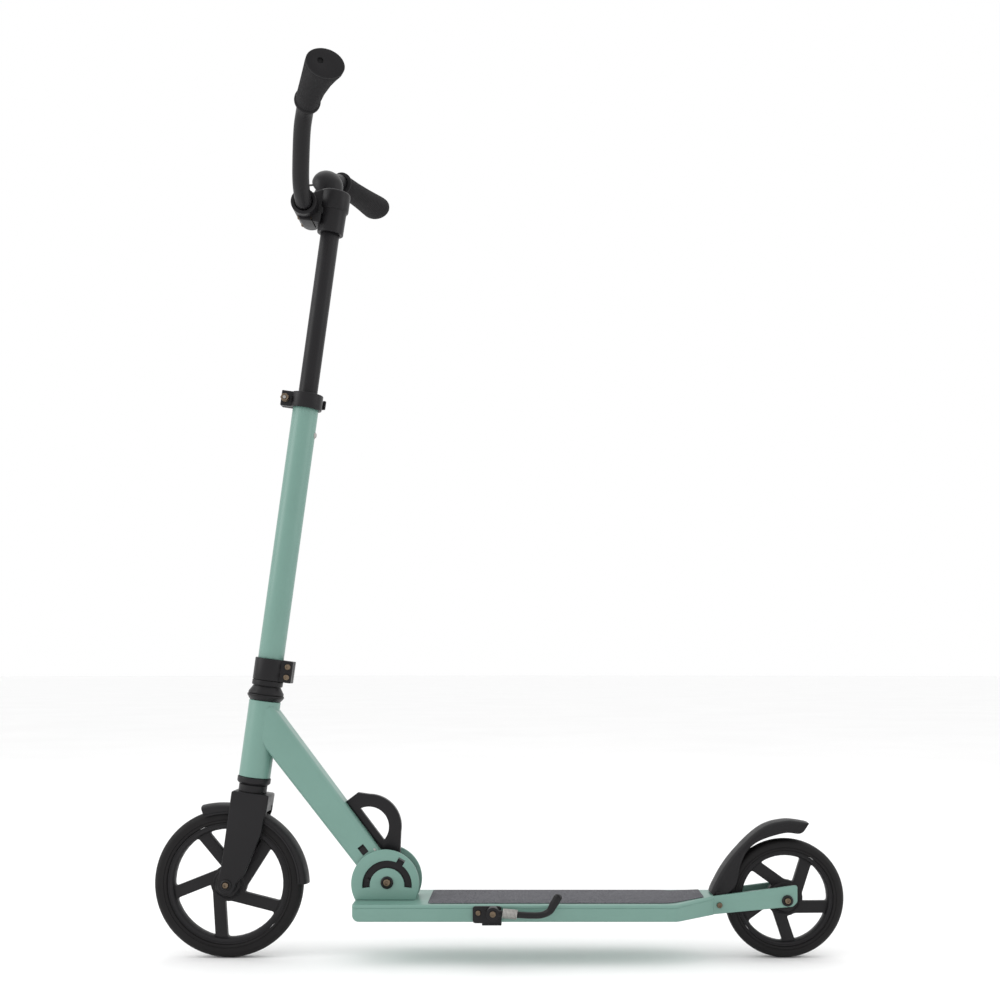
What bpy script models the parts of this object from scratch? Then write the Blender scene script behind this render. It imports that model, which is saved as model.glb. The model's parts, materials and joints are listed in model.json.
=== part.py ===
"""Folding big-wheel kick scooter, made of separate named parts.

Frame: +X points to the rear, +Y to the rider's right, +Z up. The ground is z = 0,
and the origin lies under the middle of the scooter. Every size is in metres.
"""
import math

import bmesh
import bpy
from mathutils import Vector

# ---- driving dimensions -------------------------------------------------------------
GAP = 0.0003                      # clearance between pieces that touch

FRONT_WHEEL_RADIUS = 0.100
REAR_WHEEL_RADIUS = 0.080
FRONT_AXLE = (-0.364, 0.0, FRONT_WHEEL_RADIUS)
REAR_AXLE = (0.384, 0.0, REAR_WHEEL_RADIUS)
TYRE_HALF_WIDTH = 0.012
HUB_RADIUS = 0.021
HUB_HALF_WIDTH = 0.0145
BEARING_RADIUS = 0.011
BEARING_WIDTH = 0.007
AXLE_RADIUS = 0.004
SPOKE_COUNT = 5
SPOKE_HALF_WIDTH = 0.0080

STEER_BASE = (-0.3504, 0.0, 0.100)  # where the steering axis is level with the front axle
STEER_LEAN = math.radians(7.85)
AXLE_LEAD = 0.0135                # the front axle is this far ahead of the steering axis
AXLE_DROP = 0.0019

FORK_HALF_WIDTH = 0.0225
FORK_GAP_HALF = 0.0175
CROWN_BOTTOM = 0.1080             # heights along the steering axis from STEER_BASE
CROWN_TOP = 0.124
STEERER_RADIUS = 0.0142
STEERER_TOP = 0.335
HEAD_TUBE_RADIUS = 0.021
HEAD_TUBE_BOTTOM = 0.144
HEAD_TUBE_TOP = 0.248
CLAMP_BOTTOM = 0.2756
CLAMP_TOP = 0.305
OUTER_TUBE_RADIUS = 0.0172
OUTER_TUBE_BORE = 0.0150
OUTER_TUBE_TOP = 0.6625
COLLAR_BOTTOM = 0.6455
COLLAR_TOP = 0.6660
BUTTON_HEIGHT = 0.612
INNER_TUBE_RADIUS = 0.0127
INNER_TUBE_BORE = 0.0105
INNER_TUBE_BOTTOM = 0.565
STEM_HEAD_BOTTOM = 0.885
STEM_HEAD_TOP = 0.944
BAR_RADIUS = 0.011
BAR_LEAD = 0.0345                 # the handlebar clamp is this far ahead of the axis
BAR_HEIGHT = 0.9143
GRIP_LENGTH = 0.112

PIVOT = (-0.149, 0.0, 0.104)      # folding hinge
DOWN_TUBE_ANGLE = math.radians(37.2)
DOWN_TUBE_HALF_WIDTH = 0.020
PLATE_CENTRE = (-0.0025, -0.0016) # in the side view, from the pivot
PLATE_RADIUS = 0.0453
PLATE_INNER = 0.021
PLATE_OUTER = 0.025
KNUCKLE_RADIUS = 0.0345
SLOT_CENTRE = (0.0, -0.004)
SLOT_INNER = 0.023
SLOT_OUTER = 0.033
STOP_RADIUS = 0.0258              # the stop pin's distance from the pivot

DECK_HALF_WIDTH = 0.060
DECK_BOTTOM = 0.058
DECK_TOP = 0.0805
DECK_FRONT = -0.191
DECK_BEND = 0.233
DECK_REAR = 0.2855
ARM_INNER = 0.0205
ARM_OUTER = 0.026
ARM_END = 0.3975

BRAKE_PIVOT = (0.2936, 0.0, 0.074)
FENDER_HALF_WIDTH = 0.0175
FENDER_WALL = 0.0025

# ---- scene and materials ------------------------------------------------------------
for leftover in list(bpy.data.objects):
    bpy.data.objects.remove(leftover, do_unlink=True)


def new_collection(name):
    collection = bpy.data.collections.new(name)
    bpy.context.scene.collection.children.link(collection)
    return collection


PARTS = new_collection("kick_scooter")
CUTTERS = new_collection("kick_scooter_cutters")


def new_material(name, colour, roughness, metallic=0.0):
    material = bpy.data.materials.new(name)
    material.use_nodes = True
    shader = material.node_tree.nodes["Principled BSDF"]
    shader.inputs["Base Color"].default_value = (*colour, 1.0)
    shader.inputs["Roughness"].default_value = roughness
    shader.inputs["Metallic"].default_value = metallic
    return material


GREEN = new_material("mint_paint", (0.23, 0.40, 0.34), 0.42)
BLACK_PAINT = new_material("black_paint", (0.022, 0.021, 0.023), 0.45)
BLACK_PLASTIC = new_material("black_plastic", (0.025, 0.024, 0.026), 0.55)
RUBBER = new_material("black_rubber", (0.030, 0.029, 0.031), 0.75)
TYRE = new_material("tyre_rubber", (0.018, 0.018, 0.019), 0.6)
TAPE = new_material("grip_tape", (0.07, 0.07, 0.075), 0.95)
STEEL = new_material("steel", (0.55, 0.54, 0.52), 0.35, 1.0)
BRONZE = new_material("bronze_bolt", (0.32, 0.25, 0.18), 0.38, 1.0)


def frame_at(name, location, lean=0.0):
    """An empty whose local X and Z span the scooter's side view, leaning about Y."""
    empty = bpy.data.objects.new(name, None)
    empty.location = location
    empty.rotation_euler = (0.0, lean, 0.0)
    PARTS.objects.link(empty)
    return empty


STEER = frame_at("steering_axis", STEER_BASE, STEER_LEAN)
DOWN = frame_at("down_tube_frame", PIVOT, -DOWN_TUBE_ANGLE)
HINGE = frame_at("hinge_axis", PIVOT)
FRONT_HUB = frame_at("front_wheel_axis", FRONT_AXLE)
REAR_HUB = frame_at("rear_wheel_axis", REAR_AXLE)


# ---- shape helpers ------------------------------------------------------------------
def add_object(name, mesh, material, parent=None, location=(0, 0, 0), rotation=(0, 0, 0)):
    piece = bpy.data.objects.new(name, mesh)
    piece.parent = parent
    piece.location = location
    piece.rotation_euler = rotation
    if material is None:
        CUTTERS.objects.link(piece)
        piece.hide_render = True
        piece.display_type = "WIRE"
    else:
        mesh.materials.append(material)
        PARTS.objects.link(piece)
    return piece


def finish_mesh(name, work):
    mesh = bpy.data.meshes.new(name)
    work.to_mesh(mesh)
    work.free()
    return mesh


def box(name, low, high, material=None, parent=None):
    work = bmesh.new()
    bmesh.ops.create_cube(work, size=1.0)
    low, high = Vector(low), Vector(high)
    bmesh.ops.scale(work, vec=high - low, verts=work.verts)
    bmesh.ops.translate(work, vec=(low + high) / 2, verts=work.verts)
    return add_object(name, finish_mesh(name, work), material, parent)


def rod(name, start, end, radius, material=None, parent=None, sides=24, end_radius=None):
    """A straight bar, pin or cone from start to end."""
    start, end = Vector(start), Vector(end)
    work = bmesh.new()
    bmesh.ops.create_cone(work, cap_ends=True, segments=sides, radius1=radius,
                          radius2=radius if end_radius is None else end_radius,
                          depth=(end - start).length)
    piece = add_object(name, finish_mesh(name, work), material, parent)
    piece.location = (start + end) / 2
    piece.rotation_mode = "QUATERNION"
    piece.rotation_quaternion = (end - start).to_track_quat("Z", "Y")
    return piece


def turned(name, profile, material=None, parent=None, location=(0, 0, 0), rotation=(0, 0, 0),
           steps=32):
    """A body turned about local Z. The (radius, height) profile runs down its outer side."""
    mesh = bpy.data.meshes.new(name)
    closed = profile[0][0] > 0.0
    edges = [(i, i + 1) for i in range(len(profile) - 1)]
    if closed:
        edges.append((len(profile) - 1, 0))
    mesh.from_pydata([(radius, 0.0, height) for radius, height in profile], edges, [])
    piece = add_object(name, mesh, material, parent, location, rotation)
    screw = piece.modifiers.new("turn", "SCREW")
    screw.steps = steps
    screw.render_steps = steps
    screw.use_merge_vertices = True
    screw.merge_threshold = 0.00005
    return piece


def ring(name, inner, outer, bottom, top, material=None, parent=None, steps=32, **place):
    profile = [(inner, top), (outer, top), (outer, bottom), (inner, bottom)]
    return turned(name, profile, material, parent, steps=steps, **place)


def curve_to_mesh(curve, material):
    """Replace a curve object with its evaluated mesh, caps welded."""
    bpy.context.view_layer.update()
    evaluated = curve.evaluated_get(bpy.context.evaluated_depsgraph_get())
    mesh = bpy.data.meshes.new_from_object(evaluated)
    work = bmesh.new()
    work.from_mesh(mesh)
    bmesh.ops.remove_doubles(work, verts=work.verts, dist=0.00001)
    bmesh.ops.recalc_face_normals(work, faces=work.faces)
    work.to_mesh(mesh)
    work.free()
    name = curve.name
    place = curve.matrix_world.copy()
    parent = curve.parent
    bpy.data.objects.remove(curve, do_unlink=True)
    mesh.materials.clear()
    piece = add_object(name, mesh, material, parent)
    bpy.context.view_layer.update()
    piece.matrix_world = place
    return piece


def spline_curve(name, points, closed, parent):
    data = bpy.data.curves.new(name, "CURVE")
    spline = data.splines.new("POLY")
    spline.points.add(len(points) - 1)
    for target, point in zip(spline.points, points):
        target.co = (*Vector(point).to_3d(), 1.0)
    spline.use_cyclic_u = closed
    curve = bpy.data.objects.new(name, data)
    curve.parent = parent
    PARTS.objects.link(curve)
    return curve


def plate(name, outline, low, high, material=None, parent=None):
    """A side-view outline of (x, z) points, extruded from y = low to y = high."""
    curve = spline_curve(name, outline, True, parent)
    curve.data.dimensions = "2D"
    curve.data.fill_mode = "BOTH"
    curve.data.extrude = (high - low) / 2
    curve.location = (0.0, (low + high) / 2, 0.0)
    curve.rotation_euler = (math.pi / 2, 0.0, 0.0)
    return curve_to_mesh(curve, material)


def slab(name, outline, low, high, material=None, parent=None):
    """A plan outline of (x, y) points, extruded from z = low to z = high."""
    curve = spline_curve(name, outline, True, parent)
    curve.data.dimensions = "2D"
    curve.data.fill_mode = "BOTH"
    curve.data.extrude = (high - low) / 2
    curve.location = (0.0, 0.0, (low + high) / 2)
    return curve_to_mesh(curve, material)


def pipe(name, points, radius, material=None, parent=None, resolution=4):
    """A round wire or tube along points, with closed ends."""
    curve = spline_curve(name, points, False, parent)
    curve.data.dimensions = "3D"
    curve.data.bevel_depth = radius
    curve.data.bevel_resolution = resolution
    curve.data.use_fill_caps = True
    return curve_to_mesh(curve, material)


def loft(name, sections, material=None, parent=None):
    """A closed body through sections that all have the same number of points."""
    work = bmesh.new()
    rings = [[work.verts.new(point) for point in section] for section in sections]
    for first, second in zip(rings, rings[1:]):
        for i in range(len(first)):
            j = (i + 1) % len(first)
            work.faces.new((first[i], first[j], second[j], second[i]))
    work.faces.new(rings[0])
    work.faces.new(rings[-1])
    bmesh.ops.recalc_face_normals(work, faces=work.faces)
    return add_object(name, finish_mesh(name, work), material, parent)


def combine(piece, other, operation):
    boolean = piece.modifiers.new(other.name, "BOOLEAN")
    boolean.operation = operation
    boolean.solver = "EXACT"
    boolean.object = other


def cut(piece, *others):
    for other in others:
        combine(piece, other, "DIFFERENCE")


def join(piece, *others):
    for other in others:
        combine(piece, other, "UNION")


def arc(centre, radius, start, end, count):
    """Points on an arc, with angles in degrees from +X towards the second axis."""
    angles = [math.radians(start + (end - start) * i / (count - 1)) for i in range(count)]
    return [(centre[0] + radius * math.cos(a), centre[1] + radius * math.sin(a)) for a in angles]


def rounded(corners, radius, count=4, sharp=()):
    """A polygon's outline with its corners rounded, apart from the ones listed in sharp."""
    outline = []
    for i, corner in enumerate(corners):
        if i in sharp:
            outline.append(corner)
            continue
        here = Vector(corner)
        before = Vector(corners[i - 1]) - here
        after = Vector(corners[(i + 1) % len(corners)]) - here
        reach = min(radius, before.length * 0.45, after.length * 0.45)
        start = here + before.normalized() * reach
        end = here + after.normalized() * reach
        for k in range(count + 1):
            t = k / count
            outline.append(tuple(start * (1 - t) ** 2 + here * 2 * t * (1 - t) + end * t ** 2))
    return outline


def smooth_path(points, per_span):
    """A Catmull-Rom path through points, in as many dimensions as they have."""
    knots = [Vector(p) for p in points]
    knots = [knots[0] * 2 - knots[1]] + knots + [knots[-1] * 2 - knots[-2]]
    path = []
    for i in range(1, len(knots) - 2):
        a, b, c, d = knots[i - 1:i + 3]
        for k in range(per_span):
            t = k / per_span
            path.append((b * 2 + (c - a) * t + (a * 2 - b * 5 + c * 4 - d) * t ** 2
                         + (b * 3 - a - c * 3 + d) * t ** 3) / 2)
    path.append(knots[-2])
    return path


def offset_path(path, distance):
    """A side-view path moved sideways, to the right of its direction when positive."""
    moved = []
    for i, point in enumerate(path):
        along = (path[min(i + 1, len(path) - 1)] - path[max(i - 1, 0)]).normalized()
        moved.append(Vector((point[0] + along[1] * distance, point[1] - along[0] * distance)))
    return moved


def bolt(name, start, end, radius, head_radius, head, material, parent=None, sides=6):
    """A bolt whose head lies beyond start; its shank ends at end."""
    start, end = Vector(start), Vector(end)
    along = (end - start).normalized()
    piece = rod(name, start - along * head, start, head_radius, material, parent, sides=sides)
    shank = rod(name + "_shank", start - along * head / 2, end, radius, None, parent, sides=16)
    join(piece, shank)
    return piece


def nut(name, start, end, bore, radius, material, parent=None):
    piece = rod(name, start, end, radius, material, parent, sides=6)
    reach = (Vector(end) - Vector(start)).normalized() * 0.002
    hole = rod(name + "_bore", Vector(start) - reach, Vector(end) + reach, bore, None, parent,
               sides=16)
    cut(piece, hole)
    return piece


ALONG_Y = (-math.pi / 2, 0.0, 0.0)   # turns a body's local Z onto +Y


# ---- wheels -------------------------------------------------------------------------
def make_wheel(side, hub, radius, rim_outer, window_outer, first_spoke, spoke_offset):
    """Each spoke passes spoke_offset beside the hub's centre."""
    half = TYRE_HALF_WIDTH
    outer_side = [(radius - 0.0075, half), (radius - 0.0020, half * 0.72), (radius, half * 0.25)]
    lower_side = [(r, -y) for r, y in reversed(outer_side)]
    tyre_inner = rim_outer + GAP
    turned(side + "_tyre", [(tyre_inner, half)] + outer_side + lower_side + [(tyre_inner, -half)],
           TYRE, hub, rotation=ALONG_Y, steps=36)

    ring_half, web_half = 0.0095, 0.0055
    upper = [(BEARING_RADIUS + GAP, HUB_HALF_WIDTH), (HUB_RADIUS - 0.004, HUB_HALF_WIDTH),
             (HUB_RADIUS, web_half), (window_outer, web_half),
             (window_outer + 0.0025, ring_half), (rim_outer, ring_half)]
    lower = [(r, -y) for r, y in reversed(upper)]
    rim = turned(side + "_rim", upper + lower, BLACK_PLASTIC, hub, rotation=ALONG_Y, steps=30)

    window_inner = HUB_RADIUS + 0.0035
    pitch = 360.0 / SPOKE_COUNT

    def edge_angle(spoke, offset, reach):
        return spoke - math.degrees(math.asin(offset / reach))

    near_offset = spoke_offset - SPOKE_HALF_WIDTH
    far_offset = spoke_offset + SPOKE_HALF_WIDTH
    for i in range(SPOKE_COUNT):
        spoke = first_spoke + pitch * i
        corners = arc((0, 0), window_outer, edge_angle(spoke, near_offset, window_outer),
                      edge_angle(spoke + pitch, far_offset, window_outer), 5)
        corners += arc((0, 0), window_inner, edge_angle(spoke + pitch, far_offset, window_inner),
                       edge_angle(spoke, near_offset, window_inner), 2)
        outline = rounded(corners, 0.006, 2, sharp=(1, 2, 3))
        window = plate(f"{side}_window_{i + 1}", outline, -0.03, 0.03, None, hub)
        cut(rim, window)

    bearing_inner = HUB_HALF_WIDTH - BEARING_WIDTH
    for label, sign in (("left", -1), ("right", 1)):
        near, far = sorted((sign * bearing_inner, sign * HUB_HALF_WIDTH))
        ring(f"{side}_bearing_{label}", AXLE_RADIUS + GAP, BEARING_RADIUS, near, far, STEEL, hub,
             steps=16, rotation=ALONG_Y)


make_wheel("front", FRONT_HUB, FRONT_WHEEL_RADIUS, 0.0815, 0.0730, -86.4, 0.0145)
make_wheel("rear", REAR_HUB, REAR_WHEEL_RADIUS, 0.0640, 0.0575, -71.6, 0.0125)


def make_axle(side, hub, outer_face):
    head = 0.0045
    bolt(side + "_axle", (0, -outer_face - GAP, 0), (0, outer_face + 0.006, 0), AXLE_RADIUS,
         0.0075, head, BRONZE, hub)
    nut(side + "_axle_nut", (0, outer_face + GAP, 0), (0, outer_face + 0.0055, 0),
        AXLE_RADIUS + GAP, 0.0075, BRONZE, hub)


make_axle("front", FRONT_HUB, FORK_HALF_WIDTH)
make_axle("rear", REAR_HUB, ARM_OUTER)


# ---- fork and front fender ----------------------------------------------------------
def make_fork():
    axle = (-AXLE_LEAD, -AXLE_DROP)
    outline = [(-0.0237, CROWN_TOP), (0.0266, CROWN_TOP), (0.0262, 0.0985), (0.0240, 0.0900),
               (0.0237, 0.072), (0.0091, 0.0156)]
    outline += arc(axle, 0.0125, 12.0, -180.0, 10)
    outline += [(-0.0237, 0.020)]
    fork = plate("fork", outline, -FORK_HALF_WIDTH, FORK_HALF_WIDTH, BLACK_PAINT, STEER)
    wheel_gap = box("fork_wheel_gap", (-0.06, -FORK_GAP_HALF, -0.05),
                    (0.06, FORK_GAP_HALF, CROWN_BOTTOM), None, STEER)
    steerer = rod("fork_steerer", (0, 0, CROWN_TOP - 0.004), (0, 0, STEERER_TOP), STEERER_RADIUS,
                  None, STEER, sides=24)
    steerer_bore = rod("fork_steerer_bore", (0, 0, CROWN_TOP + 0.003), (0, 0, STEERER_TOP + 0.01),
                       STEERER_RADIUS - 0.0028, None, STEER, sides=20)
    axle_hole = rod("fork_axle_hole", (axle[0], -0.05, axle[1]), (axle[0], 0.05, axle[1]),
                    AXLE_RADIUS + GAP, None, STEER, sides=16)
    race = rod("fork_crown_race", (0, 0, CROWN_TOP - 0.004), (0, 0, 0.1340), 0.0188, None, STEER,
               sides=20)
    fender_boss = rod("fork_fender_boss", (-AXLE_LEAD, 0, 0.1067), (-AXLE_LEAD, 0, 0.112), 0.007,
                      None, STEER, sides=16)
    cut(fork, wheel_gap)
    join(fork, steerer, race, fender_boss)
    cut(fork, steerer_bore, axle_hole)


make_fork()


def make_front_fender():
    """An arched channel around the top of the front wheel, inside the fork legs."""
    half, inner_half = 0.0165, 0.0145
    wall_bottom = 0.0945
    sections = []
    crests = [(0.0, 0.1078), (25.0, 0.1062), (50.0, 0.1055), (75.0, 0.1065), (93.0, 0.1083),
              (109.0, 0.1108)]
    stations = smooth_path(crests, 3)
    for degrees, crest in stations:
        angle = math.radians(degrees)
        side = [(wall_bottom, half), (crest - 0.0050, half), (crest - 0.0012, 0.0105),
                (crest, 0.004)]
        inside = [(crest - 0.0021, 0.004), (crest - 0.0032, 0.0095), (crest - 0.0068, inner_half),
                  (wall_bottom, inner_half)]
        shape = side + [(r, -y) for r, y in reversed(side)]
        shape += [(r, -y) for r, y in reversed(inside)] + inside
        sections.append([(r * math.cos(angle), y, r * math.sin(angle)) for r, y in shape])
    loft("front_fender", sections, BLACK_PLASTIC, FRONT_HUB)


make_front_fender()


# ---- head tube, headset and down tube -----------------------------------------------
def make_head():
    bore = STEERER_RADIUS + 2 * GAP
    ring("head_tube", 0.0168, HEAD_TUBE_RADIUS, HEAD_TUBE_BOTTOM + GAP, HEAD_TUBE_TOP - GAP, GREEN,
         STEER, steps=32)
    turned("headset_lower_cup", [(bore, HEAD_TUBE_BOTTOM), (0.0222, HEAD_TUBE_BOTTOM),
                                 (0.0222, 0.1372), (0.0195, 0.1344), (bore, 0.1344)],
           BLACK_PAINT, STEER, steps=24)
    turned("headset_upper_cup", [(bore, 0.2560), (0.0245, 0.2560), (0.0245, 0.2535),
                                 (0.0205, HEAD_TUBE_TOP), (bore, HEAD_TUBE_TOP)],
           BLACK_PAINT, STEER, steps=24)
    turned("headset_cone", [(bore, 0.2752), (0.0205, 0.2752), (0.0205, 0.2684), (0.0180, 0.2680),
                            (0.0235, 0.2590), (0.0235, 0.2563), (bore, 0.2563)],
           BLACK_PAINT, STEER, steps=24)


make_head()


def rounded_box_section(half_x, half_y, corner, height, shift):
    corners = [(half_x, half_y), (-half_x, half_y), (-half_x, -half_y), (half_x, -half_y)]
    return [(x + shift, y, height) for x, y in rounded(corners, corner, 2)]


def make_down_tube():
    start, end = 0.0, 0.2815
    half_low, half_high = 0.0186, 0.0215
    shift_low, shift_high = -0.0018, -0.0025
    wall = 0.0028
    width = DOWN_TUBE_HALF_WIDTH
    tube = loft("down_tube", [rounded_box_section(half_low, width, 0.007, start, shift_low),
                              rounded_box_section(half_high, width, 0.007, end, shift_high)],
                GREEN, DOWN)
    inner_width = width - wall
    hollow = loft("down_tube_hollow",
                  [rounded_box_section(half_low - wall, inner_width, 0.005, start - 0.01,
                                       shift_low),
                   rounded_box_section(half_high - wall, inner_width, 0.005, end + 0.01,
                                       shift_high)],
                  None, DOWN)
    knuckle_clearance = rod("down_tube_foot_cut", (0, -0.03, 0), (0, 0.03, 0),
                            KNUCKLE_RADIUS + 2 * GAP, None, DOWN, sides=36)
    mitre = box("down_tube_mitre", (-0.08, -0.05, 0.10), (0.006, 0.05, 0.40), None, STEER)
    head_clearance = rod("down_tube_head_cut", (0, 0, 0.10), (0, 0, 0.32),
                         HEAD_TUBE_RADIUS + 2 * GAP, None, STEER, sides=32)
    lever_slot = box("down_tube_lever_slot", (0.002, -0.0068, 0.02), (0.03, 0.0068, 0.0565), None,
                     DOWN)
    bolt_slot = box("down_tube_bolt_slot", (-0.0047, -0.03, 0.0475), (0.0047, 0.03, 0.0600), None,
                    DOWN)
    pin_hole = rod("down_tube_pin_hole", (0.0118, -0.03, 0.0445), (0.0118, 0.03, 0.0445), 0.0025,
                   None, DOWN, sides=12)
    cut(tube, hollow, knuckle_clearance, mitre, head_clearance, lever_slot, bolt_slot, pin_hole)


make_down_tube()


# ---- folding hinge ------------------------------------------------------------------
def make_hinge():
    base = DECK_TOP + GAP - PIVOT[2]
    foot = math.degrees(math.asin((base - PLATE_CENTRE[1]) / PLATE_RADIUS))
    outline = arc(PLATE_CENTRE, PLATE_RADIUS, foot, 180.0 - foot, 28)
    slot = arc(SLOT_CENTRE, SLOT_INNER, -6.0, 186.0, 14)
    slot += arc(SLOT_CENTRE, SLOT_OUTER, 186.0, -6.0, 18)
    notch_angle = math.radians(60.0)
    notch_half = 0.00475
    reach = [(SLOT_OUTER - 0.002, -notch_half), (0.0405, -notch_half), (0.0405, notch_half),
             (SLOT_OUTER - 0.002, notch_half)]
    notch = [(SLOT_CENTRE[0] + r * math.cos(notch_angle) - s * math.sin(notch_angle),
              SLOT_CENTRE[1] + r * math.sin(notch_angle) + s * math.cos(notch_angle))
             for r, s in reach]
    for label, sign in (("left", -1), ("right", 1)):
        low, high = sorted((sign * PLATE_INNER, sign * PLATE_OUTER))
        cheek = plate(f"hinge_plate_{label}", outline, low, high, GREEN, HINGE)
        slot_cutter = plate(f"hinge_slot_{label}", slot, low - 0.003, high + 0.003, None, HINGE)
        notch_cutter = plate(f"hinge_notch_{label}", notch, low - 0.003, high + 0.003, None, HINGE)
        hole = rod(f"hinge_hole_{label}", (0, low - 0.003, 0), (0, high + 0.003, 0), 0.0053, None,
                   HINGE, sides=16)
        cut(cheek, slot_cutter, notch_cutter, hole)

    knuckle = rod("hinge_knuckle", (0, -0.0206, 0), (0, 0.0206, 0), KNUCKLE_RADIUS, BLACK_PAINT,
                  HINGE, sides=36)
    bore = rod("hinge_knuckle_bore", (0, -0.03, 0), (0, 0.03, 0), 0.0053, None, HINGE, sides=16)
    stop_angle = math.radians(175.0)
    stop_at = (STOP_RADIUS * math.cos(stop_angle), STOP_RADIUS * math.sin(stop_angle))
    stop_hole = rod("hinge_stop_hole", (stop_at[0], -0.03, stop_at[1]),
                    (stop_at[0], 0.03, stop_at[1]), 0.0031, None, HINGE, sides=16)
    toe_groove = box("hinge_toe_groove", (0.0165, -0.0068, 0.002), (0.05, 0.0068, 0.05), None, DOWN)
    cut(knuckle, bore, stop_hole, toe_groove)
    rod("fold_stop_pin", (stop_at[0], -0.0246, stop_at[1]), (stop_at[0], 0.0246, stop_at[1]),
        0.0028, BLACK_PAINT, HINGE, sides=12)
    bolt("hinge_bolt", (0, -PLATE_OUTER - GAP, 0), (0, PLATE_OUTER + 0.006, 0), 0.005, 0.0088,
         0.0045, BRONZE, HINGE)
    nut("hinge_nut", (0, PLATE_OUTER + GAP, 0), (0, PLATE_OUTER + 0.0058, 0), 0.0053, 0.0088,
        BRONZE, HINGE)


make_hinge()


def make_lock():
    """The D-shaped finger ring on the down tube, and the bolt that it draws back."""
    centre = (0.0221, 0.0733)
    ring_outer, ring_inner = 0.0438, 0.027
    seat, seat_top = 0.0187, 0.0199
    outline = [(seat_top, 0.119), (0.038, 0.119)]
    outline += arc(centre, ring_outer, 52.0, -46.0, 12)
    outline += [(0.042, 0.029), (0.0320, 0.0165), (0.0275, 0.0165), (0.0225, 0.026), (seat, 0.036)]
    lever = plate("lock_lever", outline, -0.006, 0.006, BLACK_PAINT, DOWN)
    straight_edge = 0.0275
    opening = math.degrees(math.acos((straight_edge - centre[0]) / ring_inner))
    hole = plate("lock_lever_hole", arc(centre, ring_inner, opening, -opening, 14), -0.02, 0.02,
                 None, DOWN)
    foot = box("lock_lever_foot", (0.0075, -0.006, 0.0395), (seat + 0.003, 0.006, 0.0495), None,
               DOWN)
    pin_hole = rod("lock_lever_pin_hole", (0.0118, -0.02, 0.0445), (0.0118, 0.02, 0.0445), 0.0025,
                   None, DOWN, sides=12)
    join(lever, foot)
    cut(lever, hole, pin_hole)
    rod("lock_lever_pin", (0.0118, -0.0197, 0.0445), (0.0118, 0.0197, 0.0445), 0.0022, STEEL, DOWN,
        sides=12)
    box("lock_bolt", (-0.0044, -0.0206, 0.0479), (0.0044, 0.0206, 0.0569), BLACK_PAINT, DOWN)


make_lock()


# ---- stem ---------------------------------------------------------------------------
def make_stem():
    outer = ring("stem_outer_tube", OUTER_TUBE_BORE, OUTER_TUBE_RADIUS, CLAMP_BOTTOM,
                 OUTER_TUBE_TOP, GREEN, STEER, steps=28)
    button_hole = rod("stem_button_hole", (0.005, 0, BUTTON_HEIGHT), (0.03, 0, BUTTON_HEIGHT),
                      0.0045, None, STEER, sides=16)
    cut(outer, button_hole)
    dome = [(0.0, 0.0196), (0.0024, 0.0190), (0.0038, 0.0175), (0.0041, 0.0155), (0.0, 0.0155)]
    turned("snap_button", dome, STEEL, STEER, location=(0, 0, BUTTON_HEIGHT),
           rotation=(0, math.pi / 2, 0), steps=16)
    ring("stem_bush", INNER_TUBE_RADIUS + GAP, OUTER_TUBE_BORE - GAP, 0.625, 0.6620, BLACK_PLASTIC,
         STEER, steps=24)
    ring("stem_inner_tube", INNER_TUBE_BORE, INNER_TUBE_RADIUS, INNER_TUBE_BOTTOM, 0.922,
         BLACK_PAINT, STEER, steps=24)

    clamp = ring("stem_clamp", OUTER_TUBE_RADIUS + GAP, 0.0205, CLAMP_BOTTOM, CLAMP_TOP,
                 BLACK_PAINT, STEER, steps=24)
    lug = box("stem_clamp_lug", (0.0185, -0.0115, CLAMP_BOTTOM + 0.001),
              (0.0325, 0.0115, CLAMP_TOP - 0.001), None, STEER)
    split = box("stem_clamp_split", (0.010, -0.001, CLAMP_BOTTOM - 0.01),
                (0.04, 0.001, CLAMP_TOP + 0.01), None, STEER)
    join(clamp, lug)
    cut(clamp, split)
    for label, height in (("lower", 0.2830), ("upper", 0.2970)):
        hole = rod(f"stem_clamp_hole_{label}", (0.0262, -0.02, height), (0.0262, 0.02, height),
                   0.0026, None, STEER, sides=12)
        cut(clamp, hole)
        bolt(f"stem_clamp_bolt_{label}", (0.0262, -0.0118, height), (0.0262, 0.0125, height),
             0.0023, 0.0040, 0.0030, BRONZE, STEER, sides=12)


make_stem()


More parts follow.
